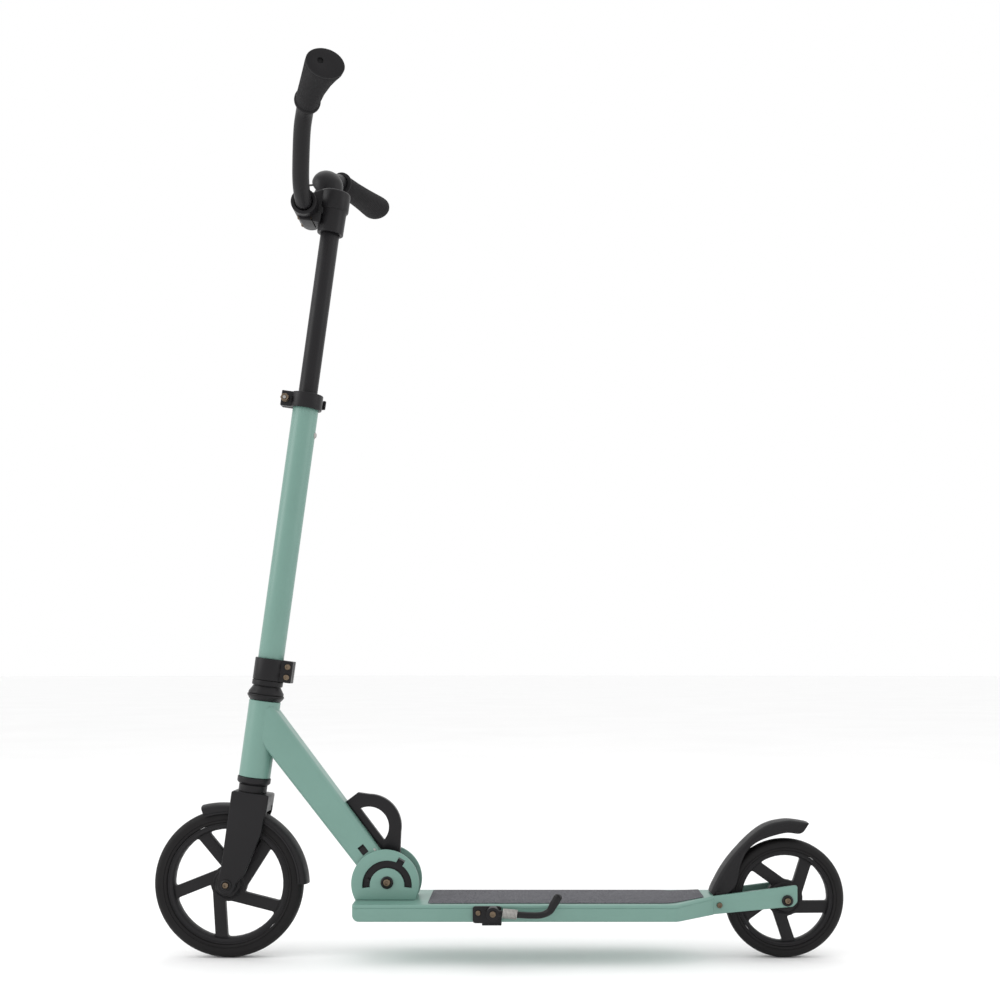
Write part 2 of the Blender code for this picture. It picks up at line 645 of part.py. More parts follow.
def make_quick_release():
    middle = (COLLAR_BOTTOM + COLLAR_TOP) / 2
    lead = 0.0275
    collar = ring("qr_collar", OUTER_TUBE_RADIUS + GAP, 0.0212, COLLAR_BOTTOM, COLLAR_TOP,
                  BLACK_PAINT, STEER, steps=24)
    ears = box("qr_collar_ears", (-0.0335, -0.0095, COLLAR_BOTTOM + 0.002),
               (-0.0185, 0.0095, COLLAR_TOP - 0.002), None, STEER)
    split = box("qr_collar_split", (-0.04, -0.0012, COLLAR_BOTTOM - 0.01),
                (-0.010, 0.0012, COLLAR_TOP + 0.01), None, STEER)
    hole = rod("qr_collar_hole", (-lead, -0.02, middle), (-lead, 0.02, middle), 0.0026, None,
               STEER, sides=12)
    join(collar, ears)
    cut(collar, split, hole)

    cam_y = 0.0158
    rod("qr_skewer", (-lead, -0.0165, middle), (-lead, cam_y - 0.0024, middle), 0.0023, STEEL,
        STEER, sides=12)
    nut("qr_nut", (-lead, -0.0155, middle), (-lead, -0.0098, middle), 0.0026, 0.0058, BRONZE,
        STEER)

    blade = arc((0, 0), 0.0282, 150.0, 31.0, 12) + arc((0, 0), 0.0243, 31.0, 146.0, 11)
    lever = slab("qr_lever", blade, middle - 0.0050, middle + 0.0072, BLACK_PAINT, STEER)
    cam = rod("qr_lever_cam", (-lead, cam_y, middle - 0.0058), (-lead, cam_y, middle + 0.0058),
              0.0058, None, STEER, sides=16)
    cam_bore = rod("qr_lever_bore", (-lead, cam_y, middle - 0.01), (-lead, cam_y, middle + 0.01),
                   0.0023, None, STEER, sides=12)
    cam_slot = rod("qr_lever_slot", (-lead, cam_y, middle - 0.0029), (-lead, cam_y, middle + 0.0029),
                   0.0061, None, STEER, sides=16)
    join(lever, cam)
    cut(lever, cam_bore, cam_slot)


make_quick_release()


# ---- handlebar ----------------------------------------------------------------------
BAR_END = Vector((0.0099, 0.2471, 1.0108))
GRIP_DIRECTION = Vector((0.2965, 0.9524, 0.0638)).normalized()
BAR_KNOTS = [Vector((-BAR_LEAD, 0.0, BAR_HEIGHT)), Vector((-BAR_LEAD, 0.031, BAR_HEIGHT)),
             Vector((-BAR_LEAD, 0.039, BAR_HEIGHT + 0.0010)), Vector((-0.0350, 0.066, 0.9335)),
             Vector((-0.0335, 0.100, 0.9770)), Vector((-0.0300, 0.1175, 0.9960))]
BAR_KNOTS += [BAR_END - GRIP_DIRECTION * reach
              for reach in (GRIP_LENGTH + 0.006, GRIP_LENGTH - 0.004, 0.054, 0.0)]
BAR_SPAN_STEPS = 3


def bar_path():
    half = smooth_path(BAR_KNOTS, BAR_SPAN_STEPS)
    mirrored = [Vector((p.x, -p.y, p.z)) for p in reversed(half[1:])]
    return mirrored + half


def make_handlebar():
    path = bar_path()
    path[-1] = BAR_END - GRIP_DIRECTION * 0.004
    path[0] = Vector((path[-1].x, -path[-1].y, path[-1].z))
    pipe("handlebar", [tuple(p) for p in path], BAR_RADIUS, BLACK_PAINT, STEER, resolution=3)


make_handlebar()


def make_grip(label, sign):
    """A grip that flares to an oval end, with a bore for the bar."""
    end = BAR_END
    along = GRIP_DIRECTION
    start = end - along * GRIP_LENGTH
    rear = Vector((along.y, -along.x, 0.0)).normalized()
    up = rear.cross(along)
    if up.z < 0:
        up = -up
    # distance along the grip, half depth, half height, shift to the rear, shift down
    stations = [(0.000, 0.0165, 0.0165, 0.0, 0.0), (0.004, 0.0165, 0.0165, 0.0, 0.0),
                (0.0055, 0.0150, 0.0148, 0.0, 0.0), (0.040, 0.0163, 0.0150, 0.0008, 0.0),
                (0.070, 0.0188, 0.0156, 0.0026, -0.0002), (0.088, 0.0210, 0.0163, 0.0043, -0.0006),
                (0.102, 0.0229, 0.0171, 0.0058, -0.0011), (0.112, 0.0232, 0.0175, 0.0062, -0.0013)]
    sections = []
    count = 20
    for distance, depth, height, back, drop in stations:
        centre = start + along * distance + rear * back + up * drop
        section = []
        for i in range(count):
            angle = math.tau * i / count
            point = centre + rear * (depth * math.cos(angle)) + up * (height * math.sin(angle))
            section.append((point.x, point.y * sign, point.z))
        sections.append(section)
    grip = loft(f"grip_{label}", sections, RUBBER, STEER)
    first = start - along * 0.01
    last = end - along * 0.003
    bore = rod(f"grip_bore_{label}", (first.x, first.y * sign, first.z),
               (last.x, last.y * sign, last.z), BAR_RADIUS + 3 * GAP, None, STEER, sides=16)
    cut(grip, bore)


for grip_label, grip_sign in (("left", -1), ("right", 1)):
    make_grip(grip_label, grip_sign)


def make_stem_head():
    profile = [(0.0, STEM_HEAD_TOP), (0.0150, STEM_HEAD_TOP - 0.0015), (0.0200, 0.9400),
               (0.0204, 0.9180), (0.0182, 0.9155), (0.0175, STEM_HEAD_BOTTOM),
               (0.0, STEM_HEAD_BOTTOM)]
    head = turned("stem_head", profile, BLACK_PAINT, STEER, steps=24)
    half_length = 0.034
    barrel = rod("stem_head_barrel", (-BAR_LEAD, -half_length, BAR_HEIGHT),
                 (-BAR_LEAD, half_length, BAR_HEIGHT), 0.0172, None, STEER, sides=20)
    neck = box("stem_head_neck", (-BAR_LEAD, -0.0150, BAR_HEIGHT - 0.008),
               (-0.002, 0.0150, BAR_HEIGHT + 0.016), None, STEER)
    lug_foot = 0.8940
    lug = plate("stem_head_lug", [(-0.0525, 0.9103), (-0.0394, lug_foot), (-0.0120, lug_foot),
                                  (-0.0120, 0.9080), (-0.0345, 0.9080)], -0.020, 0.020, None, STEER)
    tube_bore = rod("stem_head_tube_bore", (0, 0, STEM_HEAD_BOTTOM - 0.01), (0, 0, 0.9225),
                    INNER_TUBE_RADIUS + 2 * GAP, None, STEER, sides=20)
    bar_bore = rod("stem_head_bar_bore", (-BAR_LEAD, -0.05, BAR_HEIGHT),
                   (-BAR_LEAD, 0.05, BAR_HEIGHT), BAR_RADIUS + 3 * GAP, None, STEER, sides=20)
    split = plate("stem_head_split", [(-0.0310, 0.9060), (-0.0200, 0.8910), (-0.0184, 0.8910),
                                      (-0.0290, 0.9055)], -0.05, 0.05, None, STEER)
    join(head, barrel, neck, lug)
    cut(head, tube_bore, bar_bore, split)

    for label, sign in (("left", -1), ("right", 1)):
        y, z = sign * 0.0145, 0.8990
        hole = rod(f"stem_head_hole_{label}", (-0.0600, y, z), (-0.0160, y, z), 0.0029, None,
                   STEER, sides=10)
        seat = rod(f"stem_head_seat_{label}", (-0.0600, y, z), (-0.0395, y, z), 0.0048, None,
                   STEER, sides=12)
        cut(head, hole, seat)
        bolt(f"bar_clamp_bolt_{label}", (-0.0398, y, z), (-0.0180, y, z), 0.0025, 0.0043, 0.0036,
             BRONZE, STEER, sides=12)


make_stem_head()


def make_bell():
    """A small dome bell on the right-hand riser, with its thumb striker."""
    path = smooth_path(BAR_KNOTS, BAR_SPAN_STEPS)
    place = 3 * BAR_SPAN_STEPS + 2
    knot = path[place]
    along = (path[place + 1] - path[place - 1]).normalized()
    up = Vector((0.34, -along.z, along.y))
    up = (up - along * up.dot(along)).normalized()
    band = rod("bell_base", knot - along * 0.005, knot + along * 0.005, BAR_RADIUS + 0.0036,
               BLACK_PLASTIC, STEER, sides=20)
    post = rod("bell_base_post", knot + up * 0.009, knot + up * 0.0188, 0.0085, None, STEER,
               sides=16, end_radius=0.0125)
    stud = rod("bell_base_stud", knot + up * 0.017, knot + up * 0.0300, 0.0022, None, STEER,
               sides=12)
    bore_route = [tuple(p) for p in path[place - 4:place + 5]]
    band_bore = pipe("bell_base_bore", bore_route, BAR_RADIUS + 4 * GAP, None, STEER, resolution=3)
    join(band, post, stud)
    cut(band, band_bore)

    radius, height, wall = 0.0222, 0.0200, 0.0014
    angles = [math.radians(90.0 * i / 4) for i in range(5)]
    outer = [(radius * math.sin(a), height * math.cos(a)) for a in angles]
    inner = [((radius - wall) * math.sin(a), (height - wall) * math.cos(a))
             for a in reversed(angles)]
    profile = outer + inner
    profile[0] = (0.0, height)
    profile[-1] = (0.0, height - wall)
    dome = turned("bell_dome", profile, BLACK_PAINT, STEER, steps=24)
    dome.location = knot + up * 0.0202
    dome.rotation_mode = "QUATERNION"
    dome.rotation_quaternion = up.to_track_quat("Z", "Y")

    side = up.cross(along).normalized()
    hinge = knot + up * 0.0140 + side * 0.0165
    tip = hinge + side * 0.012 - along * 0.012
    rod("bell_striker", hinge, tip, 0.0022, STEEL, STEER, sides=10)


make_bell()


# ---- deck ---------------------------------------------------------------------------
def make_deck():
    tail_rise, keel_rise = 0.0058, 0.0030
    outline = [(DECK_FRONT, DECK_TOP), (DECK_BEND, DECK_TOP), (DECK_REAR, DECK_TOP + tail_rise),
               (DECK_REAR, DECK_BOTTOM + keel_rise), (DECK_BEND + 0.006, DECK_BOTTOM)]
    outline += arc((DECK_FRONT + 0.009, DECK_BOTTOM + 0.009), 0.009, -90.0, -180.0, 6)
    deck = plate("deck", outline, -DECK_HALF_WIDTH, DECK_HALF_WIDTH, GREEN)
    for label, sign in (("left", -1), ("right", 1)):
        wedge = slab(f"deck_taper_{label}",
                     [(DECK_BEND, sign * DECK_HALF_WIDTH), (DECK_REAR + 0.002, sign * ARM_OUTER),
                      (DECK_REAR + 0.002, sign * 0.08), (DECK_BEND, sign * 0.08)],
                     0.04, 0.11)
        cut(deck, wedge)
    knuckle_well = box("deck_knuckle_well", (PIVOT[0] - 0.034, -PLATE_INNER, DECK_TOP - 0.013),
                       (PIVOT[0] + 0.034, PLATE_INNER, DECK_TOP + 0.02))
    wall = 0.003
    hollow = box("deck_hollow", (DECK_FRONT + 0.009, -DECK_HALF_WIDTH + wall, DECK_BOTTOM + wall),
                 (DECK_BEND - 0.004, DECK_HALF_WIDTH - wall, DECK_TOP - wall))
    cut(deck, knuckle_well, hollow)
    stand_screw = rod("deck_stand_holes", (-0.0258, -0.07, 0.071), (-0.0258, -0.05, 0.071), 0.0028,
                      sides=12)
    stand_pivot = rod("deck_stand_pivot", (-0.0063, -0.07, 0.072), (-0.0063, -0.05, 0.072), 0.0033,
                      sides=12)
    cut(deck, stand_screw, stand_pivot)

    tape_base = DECK_TOP + GAP
    tape_front, tape_rear, tape_half, tape_thick = -0.0925, 0.272, 0.0505, 0.0010
    slope = tail_rise / (DECK_REAR - DECK_BEND)
    rear_base = tape_base + slope * (tape_rear - DECK_BEND)
    tape = [(tape_front, tape_base), (DECK_BEND, tape_base), (tape_rear, rear_base),
            (tape_rear, rear_base + tape_thick), (DECK_BEND, tape_base + tape_thick),
            (tape_front, tape_base + tape_thick)]
    griptape = plate("griptape", tape, -tape_half, tape_half, TAPE)
    for label, sign in (("left", -1), ("right", 1)):
        trim = slab(f"griptape_trim_{label}",
                    [(DECK_BEND - 0.012, sign * tape_half), (tape_rear + 0.01, sign * 0.0245),
                     (tape_rear + 0.01, sign * 0.08), (DECK_BEND - 0.012, sign * 0.08)],
                    0.04, 0.11)
        cut(griptape, trim)


make_deck()


def make_rear_arms():
    outline = [(DECK_REAR + GAP, 0.0612), (ARM_END - 0.006, 0.0720), (ARM_END, 0.0778),
               (ARM_END, 0.0955), (ARM_END - 0.006, 0.1005), (DECK_REAR + GAP, 0.0863)]
    for label, sign in (("left", -1), ("right", 1)):
        low, high = sorted((sign * ARM_INNER, sign * ARM_OUTER))
        arm = plate(f"rear_arm_{label}", outline, low, high, GREEN)
        axle_hole = rod(f"rear_arm_axle_hole_{label}", (REAR_AXLE[0], low - 0.01, REAR_AXLE[2]),
                        (REAR_AXLE[0], high + 0.01, REAR_AXLE[2]), AXLE_RADIUS + GAP, sides=16)
        brake_hole = rod(f"rear_arm_brake_hole_{label}",
                         (BRAKE_PIVOT[0], low - 0.01, BRAKE_PIVOT[2]),
                         (BRAKE_PIVOT[0], high + 0.01, BRAKE_PIVOT[2]), 0.0028, sides=12)
        cut(arm, axle_hole, brake_hole)
    x, z = BRAKE_PIVOT[0], BRAKE_PIVOT[2]
    bolt("brake_bolt", (x, -ARM_OUTER - GAP, z), (x, ARM_OUTER + 0.004, z), 0.0025, 0.0045, 0.0028,
         BRONZE, sides=12)


make_rear_arms()


def make_rear_fender():
    knots = [(0.2830, 0.0885), (0.2863, 0.0975), (0.2997, 0.1220), (0.3168, 0.1442),
             (0.3416, 0.1687), (0.3614, 0.1809), (0.3839, 0.1859), (0.4010, 0.1850),
             (0.4150, 0.1822)]
    skin = smooth_path(knots, 2)
    lower = [(0.4040, 0.1682), (0.3824, 0.1688), (0.3500, 0.1590), (0.3330, 0.1457),
             (0.3230, 0.1257), (0.3170, 0.0993), (0.3020, 0.0840)]
    ear = arc((BRAKE_PIVOT[0], BRAKE_PIVOT[2]), 0.0068, 0.0, -180.0, 9)
    outline = [tuple(p) for p in skin] + lower + ear + [(0.2866, 0.0885)]
    half = FENDER_HALF_WIDTH
    fender = plate("rear_fender", outline, -half, half, BLACK_PLASTIC)
    inner = [tuple(p) for p in offset_path(skin, FENDER_WALL)][1:]
    last = inner[-1]
    channel = inner + [(last[0] + 0.02, last[1] - 0.004), (0.43, 0.12), (0.33, 0.05), (0.27, 0.05),
                       (0.27, 0.0700), (0.2830, 0.0700)]
    hollow = plate("rear_fender_channel", channel, -half + FENDER_WALL, half - FENDER_WALL)
    x, z = BRAKE_PIVOT[0], BRAKE_PIVOT[2]
    hole = rod("rear_fender_hole", (x, -0.03, z), (x, 0.03, z), 0.0028, sides=12)
    cut(fender, hollow, hole)

    pad = arc((REAR_AXLE[0], REAR_AXLE[2]), REAR_WHEEL_RADIUS + 0.0058, 120.0, 101.0, 6)
    mid_wall = offset_path(skin, FENDER_WALL / 2)
    pad += [tuple(p) for p in reversed(mid_wall) if 0.336 < p.x < 0.366]
    brake_block = plate("rear_fender_block", pad, -0.0125, 0.0125)
    join(fender, brake_block)

    turns, per_turn = 5, 7
    half_span = 0.0085
    coil = []
    for i in range(turns * per_turn + 1):
        angle = math.tau * i / per_turn
        y = -half_span + 2 * half_span * i / (turns * per_turn)
        coil.append((x + 0.0046 * math.cos(angle), y, z + 0.0046 * math.sin(angle)))
    pipe("brake_spring", coil, 0.0008, STEEL, resolution=1)


make_rear_fender()


# ---- kickstand ----------------------------------------------------------------------
STAND_FACE = -DECK_HALF_WIDTH - GAP


def make_kickstand():
    side = box("kickstand_bracket", (-0.0330, STAND_FACE - 0.0042, 0.0575),
               (0.0045, STAND_FACE, 0.0795), BLACK_PAINT)
    lip = box("kickstand_bracket_lip", (-0.0210, STAND_FACE - 0.0040, 0.0545),
              (0.0045, -0.0420, DECK_BOTTOM - GAP))
    screw_hole = rod("kickstand_screw_hole", (-0.0258, -0.09, 0.071), (-0.0258, -0.05, 0.071),
                     0.0028, sides=12)
    pivot_hole = rod("kickstand_pivot_hole", (-0.0063, -0.09, 0.072), (-0.0063, -0.05, 0.072),
                     0.0033, sides=12)
    join(side, lip)
    cut(side, screw_hole, pivot_hole)
    face = STAND_FACE - 0.0042
    bolt("kickstand_screw", (-0.0258, face - GAP, 0.071), (-0.0258, -0.0520, 0.071), 0.0025, 0.0046,
         0.0030, BRONZE, sides=12)
    hub_outer = face - GAP - 0.0142
    bolt("kickstand_pivot_bolt", (-0.0063, hub_outer - GAP, 0.072), (-0.0063, -0.0520, 0.072),
         0.0030, 0.0050, 0.0030, BRONZE, sides=12)
    leg = rod("kickstand_leg", (-0.0063, face - GAP, 0.072), (-0.0063, hub_outer, 0.072), 0.0085,
              BLACK_PAINT, sides=24)
    middle = (face - GAP + hub_outer) / 2
    route = smooth_path([(-0.0040, middle, 0.0725), (0.0200, middle, 0.0705),
                         (0.0520, middle - 0.001, 0.0695), (0.0660, middle - 0.003, 0.0745),
                         (0.0720, middle - 0.005, 0.0840), (0.0775, middle - 0.006, 0.0935)], 3)
    shank = pipe("kickstand_shank", [tuple(p) for p in route], 0.0042, None, resolution=2)
    hole = rod("kickstand_leg_hole", (-0.0063, -0.09, 0.072), (-0.0063, -0.05, 0.072), 0.0033,
               sides=12)
    join(leg, shank)
    cut(leg, hole)

    turns, per_turn = 6, 7
    start, span = Vector((0.0060, middle, 0.0719)), Vector((0.0190, 0.0, -0.0016))
    along = span.normalized()
    across = Vector((0.0, 1.0, 0.0))
    above = across.cross(along)
    coil = []
    for i in range(turns * per_turn + 1):
        angle = math.tau * i / per_turn
        point = start + span * (i / (turns * per_turn))
        point = point + across * (0.0058 * math.cos(angle)) + above * (0.0058 * math.sin(angle))
        coil.append(tuple(point))
    pipe("kickstand_spring", coil, 0.0008, STEEL, resolution=1)


make_kickstand()
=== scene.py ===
"""Looks of a folding big-wheel kick scooter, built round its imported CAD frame.

Frame: +X points to the rear, +Y to the rider's right, +Z up, in metres.
Each detailed piece is named after the CAD node that it replaces.
"""

import json
import math

import bmesh
import bpy
from mathutils import Matrix, Vector


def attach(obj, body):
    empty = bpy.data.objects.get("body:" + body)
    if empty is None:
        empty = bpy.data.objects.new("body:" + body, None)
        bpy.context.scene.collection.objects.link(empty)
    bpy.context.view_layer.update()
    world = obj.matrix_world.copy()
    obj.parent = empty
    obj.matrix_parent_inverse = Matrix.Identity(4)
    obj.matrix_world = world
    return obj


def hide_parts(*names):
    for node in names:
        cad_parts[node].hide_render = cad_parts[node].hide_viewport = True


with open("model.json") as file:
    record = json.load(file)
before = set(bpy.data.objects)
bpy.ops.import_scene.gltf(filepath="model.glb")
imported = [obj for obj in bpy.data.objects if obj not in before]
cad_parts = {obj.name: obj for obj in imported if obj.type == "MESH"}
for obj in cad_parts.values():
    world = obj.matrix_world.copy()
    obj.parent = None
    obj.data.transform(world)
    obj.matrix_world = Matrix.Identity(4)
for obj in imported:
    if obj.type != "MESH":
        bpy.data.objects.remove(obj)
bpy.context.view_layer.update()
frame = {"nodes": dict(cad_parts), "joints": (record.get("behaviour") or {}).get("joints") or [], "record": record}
BODY_OF = {node: body for body, nodes in frame["record"]["behaviour"]["bodies"].items()
           for node in nodes}
SLOT_OF = {part["node"]: part["material_slot"] for part in frame["record"]["subparts"]}
JOINT_AT = {joint["name"]: joint.get("pos_m") for joint in frame["joints"]}

# ---- places ----
WORLD = Matrix.Identity(4)
SIDE_VIEW = Matrix.Rotation(math.pi / 2, 4, "X")  # an outline's Y becomes Z
ACROSS = Matrix.Rotation(-math.pi / 2, 4, "X")  # a turned body's axis becomes +Y
REARWARD = Matrix.Rotation(math.pi / 2, 4, "Y")  # a turned body's axis becomes +X
STEER_TILT, DOWN_TUBE_TILT = 7.85, -37.2  # degrees
STEER = (Matrix.Translation((-0.3504, 0.0, 0.100))
         @ Matrix.Rotation(math.radians(STEER_TILT), 4, "Y"))
PIVOT = Vector(JOINT_AT["fold"])
HINGE = Matrix.Translation(PIVOT)
DOWN = HINGE @ Matrix.Rotation(math.radians(DOWN_TUBE_TILT), 4, "Y")
FRONT_HUB = Matrix.Translation(JOINT_AT["front_wheel_spin"])
REAR_HUB = Matrix.Translation(JOINT_AT["rear_wheel_spin"])
BRAKE_PIVOT = Vector(JOINT_AT["brake_press"])

DECK_TOP = 0.0805
DECK_BEND = 0.233
BAR_RADIUS = 0.011
AXLE_HOLE, PIN_HOLE = 0.0043, 0.0028  # radii
REAR_AXLE = (0.384, 0.080)
AXLE_LEAD, AXLE_DROP = 0.0135, 0.0019  # front axle off the steering place
BUTTON_HEIGHT = 0.612  # up the steering axis


def at(x, y, z):
    return Matrix.Translation((x, y, z))


def facing(origin, direction):
    """A place at origin whose Z points along direction."""
    turn = Vector(direction).to_track_quat("Z", "Y")
    return Matrix.Translation(origin) @ turn.to_matrix().to_4x4()


# ---- materials ----
def new_node(tree, kind, **settings):
    node = tree.nodes.new("ShaderNode" + kind)
    for name, value in settings.items():
        if hasattr(node, name):
            setattr(node, name, value)
        else:
            node.inputs[name.replace("_", " ")].default_value = value
    return node


def ramp(tree, source, stops):
    """A colour ramp over source, with (position, colour) stops."""
    node = new_node(tree, "ValToRGB")
    tree.links.new(source, node.inputs["Fac"])
    elements = node.color_ramp.elements
    while len(elements) < len(stops):
        elements.new(0.5)
    for element, (position, colour) in zip(elements, stops):
        element.position = position
        element.color = (*colour, 1.0)
    return node.outputs["Color"]


def grey(value):
    return (value, value, value)


def surface(name, dark, light, rough, patch_scale, grain_scale, grain_depth, metallic=0.0,
            coat=0.0, specular=0.5, grain="Noise", fleck=None, stretch=(1.0, 1.0, 1.0)):
    """A material with colour patches, a varying roughness and a fine bumped grain."""
    material = bpy.data.materials.new(name)
    material.use_nodes = True
    tree = material.node_tree
    shader = tree.nodes["Principled BSDF"]
    shader.inputs["Metallic"].default_value = metallic
    shader.inputs["Specular IOR Level"].default_value = specular
    shader.inputs["Coat Weight"].default_value = coat
    shader.inputs["Coat Roughness"].default_value = 0.28
    where = new_node(tree, "TexCoord").outputs["Object"]
    mapping = new_node(tree, "Mapping", Scale=stretch)
    tree.links.new(where, mapping.inputs["Vector"])

    patches = new_node(tree, "TexNoise", Scale=patch_scale, Detail=5.0, Roughness=0.6)
    tree.links.new(where, patches.inputs["Vector"])
    colour = ramp(tree, patches.outputs["Fac"], [(0.30, dark), (0.70, light)])

    if grain == "Voronoi":
        fine = new_node(tree, "TexVoronoi", Scale=grain_scale)
        height = fine.outputs["Distance"]
    else:
        fine = new_node(tree, "TexNoise", Scale=grain_scale, Detail=4.0, Roughness=0.6)
        height = fine.outputs["Fac"]
    tree.links.new(mapping.outputs["Vector"], fine.inputs["Vector"])

    if fleck:
        mix = new_node(tree, "Mix", data_type="RGBA")
        mask = ramp(tree, height, [(fleck[0], grey(0.0)), (fleck[1], grey(1.0))])
        tree.links.new(mask, mix.inputs["Factor"])
        tree.links.new(colour, mix.inputs["A"])
        mix.inputs["B"].default_value = (*fleck[2], 1.0)
        colour = mix.outputs["Result"]
    tree.links.new(colour, shader.inputs["Base Color"])

    smudges = new_node(tree, "TexNoise", Scale=patch_scale * 4.0, Detail=6.0, Roughness=0.7)
    tree.links.new(where, smudges.inputs["Vector"])
    gloss = ramp(tree, smudges.outputs["Fac"], [(0.30, grey(rough[0])), (0.72, grey(rough[1]))])
    tree.links.new(gloss, shader.inputs["Roughness"])

    bump = new_node(tree, "Bump", Strength=0.6, Distance=grain_depth)
    tree.links.new(height, bump.inputs["Height"])
    tree.links.new(bump.outputs["Normal"], shader.inputs["Normal"])
    return material


MATERIALS = {
    "mint_paint": surface("mint_powder_coat", (0.136, 0.260, 0.218), (0.158, 0.292, 0.247),
                          (0.34, 0.46), 9.0, 1500.0, 0.00006, coat=0.15,
                          fleck=(0.62, 0.86, (0.20, 0.345, 0.295))),
    "black_paint": surface("black_satin_paint", (0.0062, 0.0058, 0.0066),
                           (0.0095, 0.0088, 0.0100), (0.32, 0.48), 11.0, 1700.0, 0.00005,
                           specular=0.24, fleck=(0.64, 0.90, (0.020, 0.019, 0.021))),
    "black_plastic": surface("moulded_black_plastic", (0.0058, 0.0054, 0.0061),
                             (0.0090, 0.0084, 0.0094), (0.42, 0.58), 13.0, 2100.0, 0.00009,
                             specular=0.24, grain="Voronoi",
                             fleck=(0.52, 0.95, (0.018, 0.017, 0.019))),
    "grip_rubber": surface("ribbed_grip_rubber", (0.0090, 0.0086, 0.0094),
                           (0.0140, 0.0132, 0.0144), (0.60, 0.78), 16.0, 1300.0, 0.00011,
                           specular=0.20, fleck=(0.58, 0.88, (0.026, 0.025, 0.027))),
    "tyre_rubber": surface("cast_tyre_rubber", (0.0052, 0.0047, 0.0050),
                           (0.0086, 0.0078, 0.0082), (0.48, 0.68), 14.0, 900.0, 0.00010,
                           specular=0.20, fleck=(0.60, 0.92, (0.018, 0.017, 0.017))),
    "grip_tape": surface("coarse_grip_tape", (0.030, 0.030, 0.033), (0.048, 0.047, 0.052),
                         (0.82, 0.97), 12.0, 1150.0, 0.00055, specular=0.20,
                         grain="Voronoi", fleck=(0.34, 0.62, (0.16, 0.16, 0.175))),
    "steel": surface("brushed_steel", (0.28, 0.27, 0.26), (0.44, 0.43, 0.41), (0.24, 0.40),
                     20.0, 700.0, 0.00005, metallic=1.0, stretch=(1.0, 6.0, 1.0)),
    "bronze_bolt": surface("bronzed_bolt_steel", (0.100, 0.074, 0.052),
                           (0.200, 0.152, 0.106), (0.26, 0.44), 45.0, 900.0, 0.00006,
                           metallic=1.0, fleck=(0.60, 0.88, (0.30, 0.24, 0.17))),
}


# ---- shapes: each returns a mesh in the row frame ----
def mesh_from(work, place=WORLD):
    bmesh.ops.remove_doubles(work, verts=work.verts, dist=0.000002)
    bmesh.ops.recalc_face_normals(work, faces=work.faces)
    work.transform(place)
    mesh = bpy.data.meshes.new("shape")
    work.to_mesh(mesh)
    work.free()
    return mesh


def merged(*meshes):
    work = bmesh.new()
    for mesh in meshes:
        work.from_mesh(mesh)
    whole = bpy.data.meshes.new("shape")
    work.to_mesh(whole)
    work.free()
    return whole


def lofted(sections, place=WORLD, looped=False):
    """A skin through sections with equal numbers of points, capped unless it is looped."""
    work = bmesh.new()
    rings = [[work.verts.new(point) for point in section] for section in sections]
    following = rings[1:] + rings[:1] if looped else rings[1:]
    for first, second in zip(rings, following):
        for i in range(len(first)):
            j = (i + 1) % len(first)
            work.faces.new((first[i], first[j], second[j], second[i]))
    if not looped:
        work.faces.new(rings[0])
        work.faces.new(rings[-1])
    return mesh_from(work, place)


def revolved(profile, place=WORLD, steps=64):
    """A closed (radius, height) profile turned about Z. Its ends may lie on the axis."""
    sections = []
    for i in range(steps):
        angle = math.tau * i / steps
        sections.append([(r * math.cos(angle), r * math.sin(angle), z) for r, z in profile])
    return lofted(sections, place, looped=True)


def cutter_rod(radius, reach, place, steps=64):
    """A rod round the place's Z, from -reach to reach."""
    return revolved([(0.0, -reach), (radius, -reach), (radius, reach), (0.0, reach)], place, steps)


def outline_plate(loops, low, high, edge, place=WORLD):
    """2-D loops, the first one outside and the rest holes, made thick from low to high with
    edges rounded to the radius edge."""
    data = bpy.data.curves.new("outline", "CURVE")
    data.dimensions = "2D"
    data.fill_mode = "BOTH"
    for loop in loops:
        spline = data.splines.new("POLY")
        spline.points.add(len(loop) - 1)
        for target, (x, y) in zip(spline.points, loop):
            target.co = (x, y, 0.0, 1.0)
        spline.use_cyclic_u = True
    data.extrude = (high - low) / 2 - edge
    data.bevel_depth = edge
    data.bevel_resolution = 2
    data.offset = -edge
    curve = bpy.data.objects.new("outline", data)
    bpy.context.scene.collection.objects.link(curve)
    bpy.context.view_layer.update()
    evaluated = curve.evaluated_get(bpy.context.evaluated_depsgraph_get())
    work = bmesh.new()
    work.from_mesh(bpy.data.meshes.new_from_object(evaluated))
    bpy.data.objects.remove(curve, do_unlink=True)
    return mesh_from(work, place @ at(0.0, 0.0, (low + high) / 2))


def side_plate(loops, low, high, edge, place=WORLD):
    """outline_plate for side-view (x, z) loops, from y = low to y = high."""
    return outline_plate(loops, -high, -low, edge, place @ SIDE_VIEW)


def with_cuts(mesh, cutters):
    """mesh with the cutters' meshes taken out of it by exact Booleans."""
    base = bpy.data.objects.new("base", mesh)
    bpy.context.scene.collection.objects.link(base)
    helpers = []
    for cutter in cutters:
        helper = bpy.data.objects.new("helper", cutter)
        bpy.context.scene.collection.objects.link(helper)
        helpers.append(helper)
        boolean = base.modifiers.new("cut", "BOOLEAN")
        boolean.operation = "DIFFERENCE"
        boolean.solver = "EXACT"
        boolean.object = helper
    bpy.context.view_layer.update()
    result = bpy.data.meshes.new_from_object(
        base.evaluated_get(bpy.context.evaluated_depsgraph_get()))
    for leftover in [base] + helpers:
        bpy.data.objects.remove(leftover, do_unlink=True)
    return result


def arc(centre, radius, start, end, count):
    """Points on an arc, with angles in degrees."""
    angles = [math.radians(start + (end - start) * i / (count - 1)) for i in range(count)]
    return [(centre[0] + radius * math.cos(a), centre[1] + radius * math.sin(a)) for a in angles]


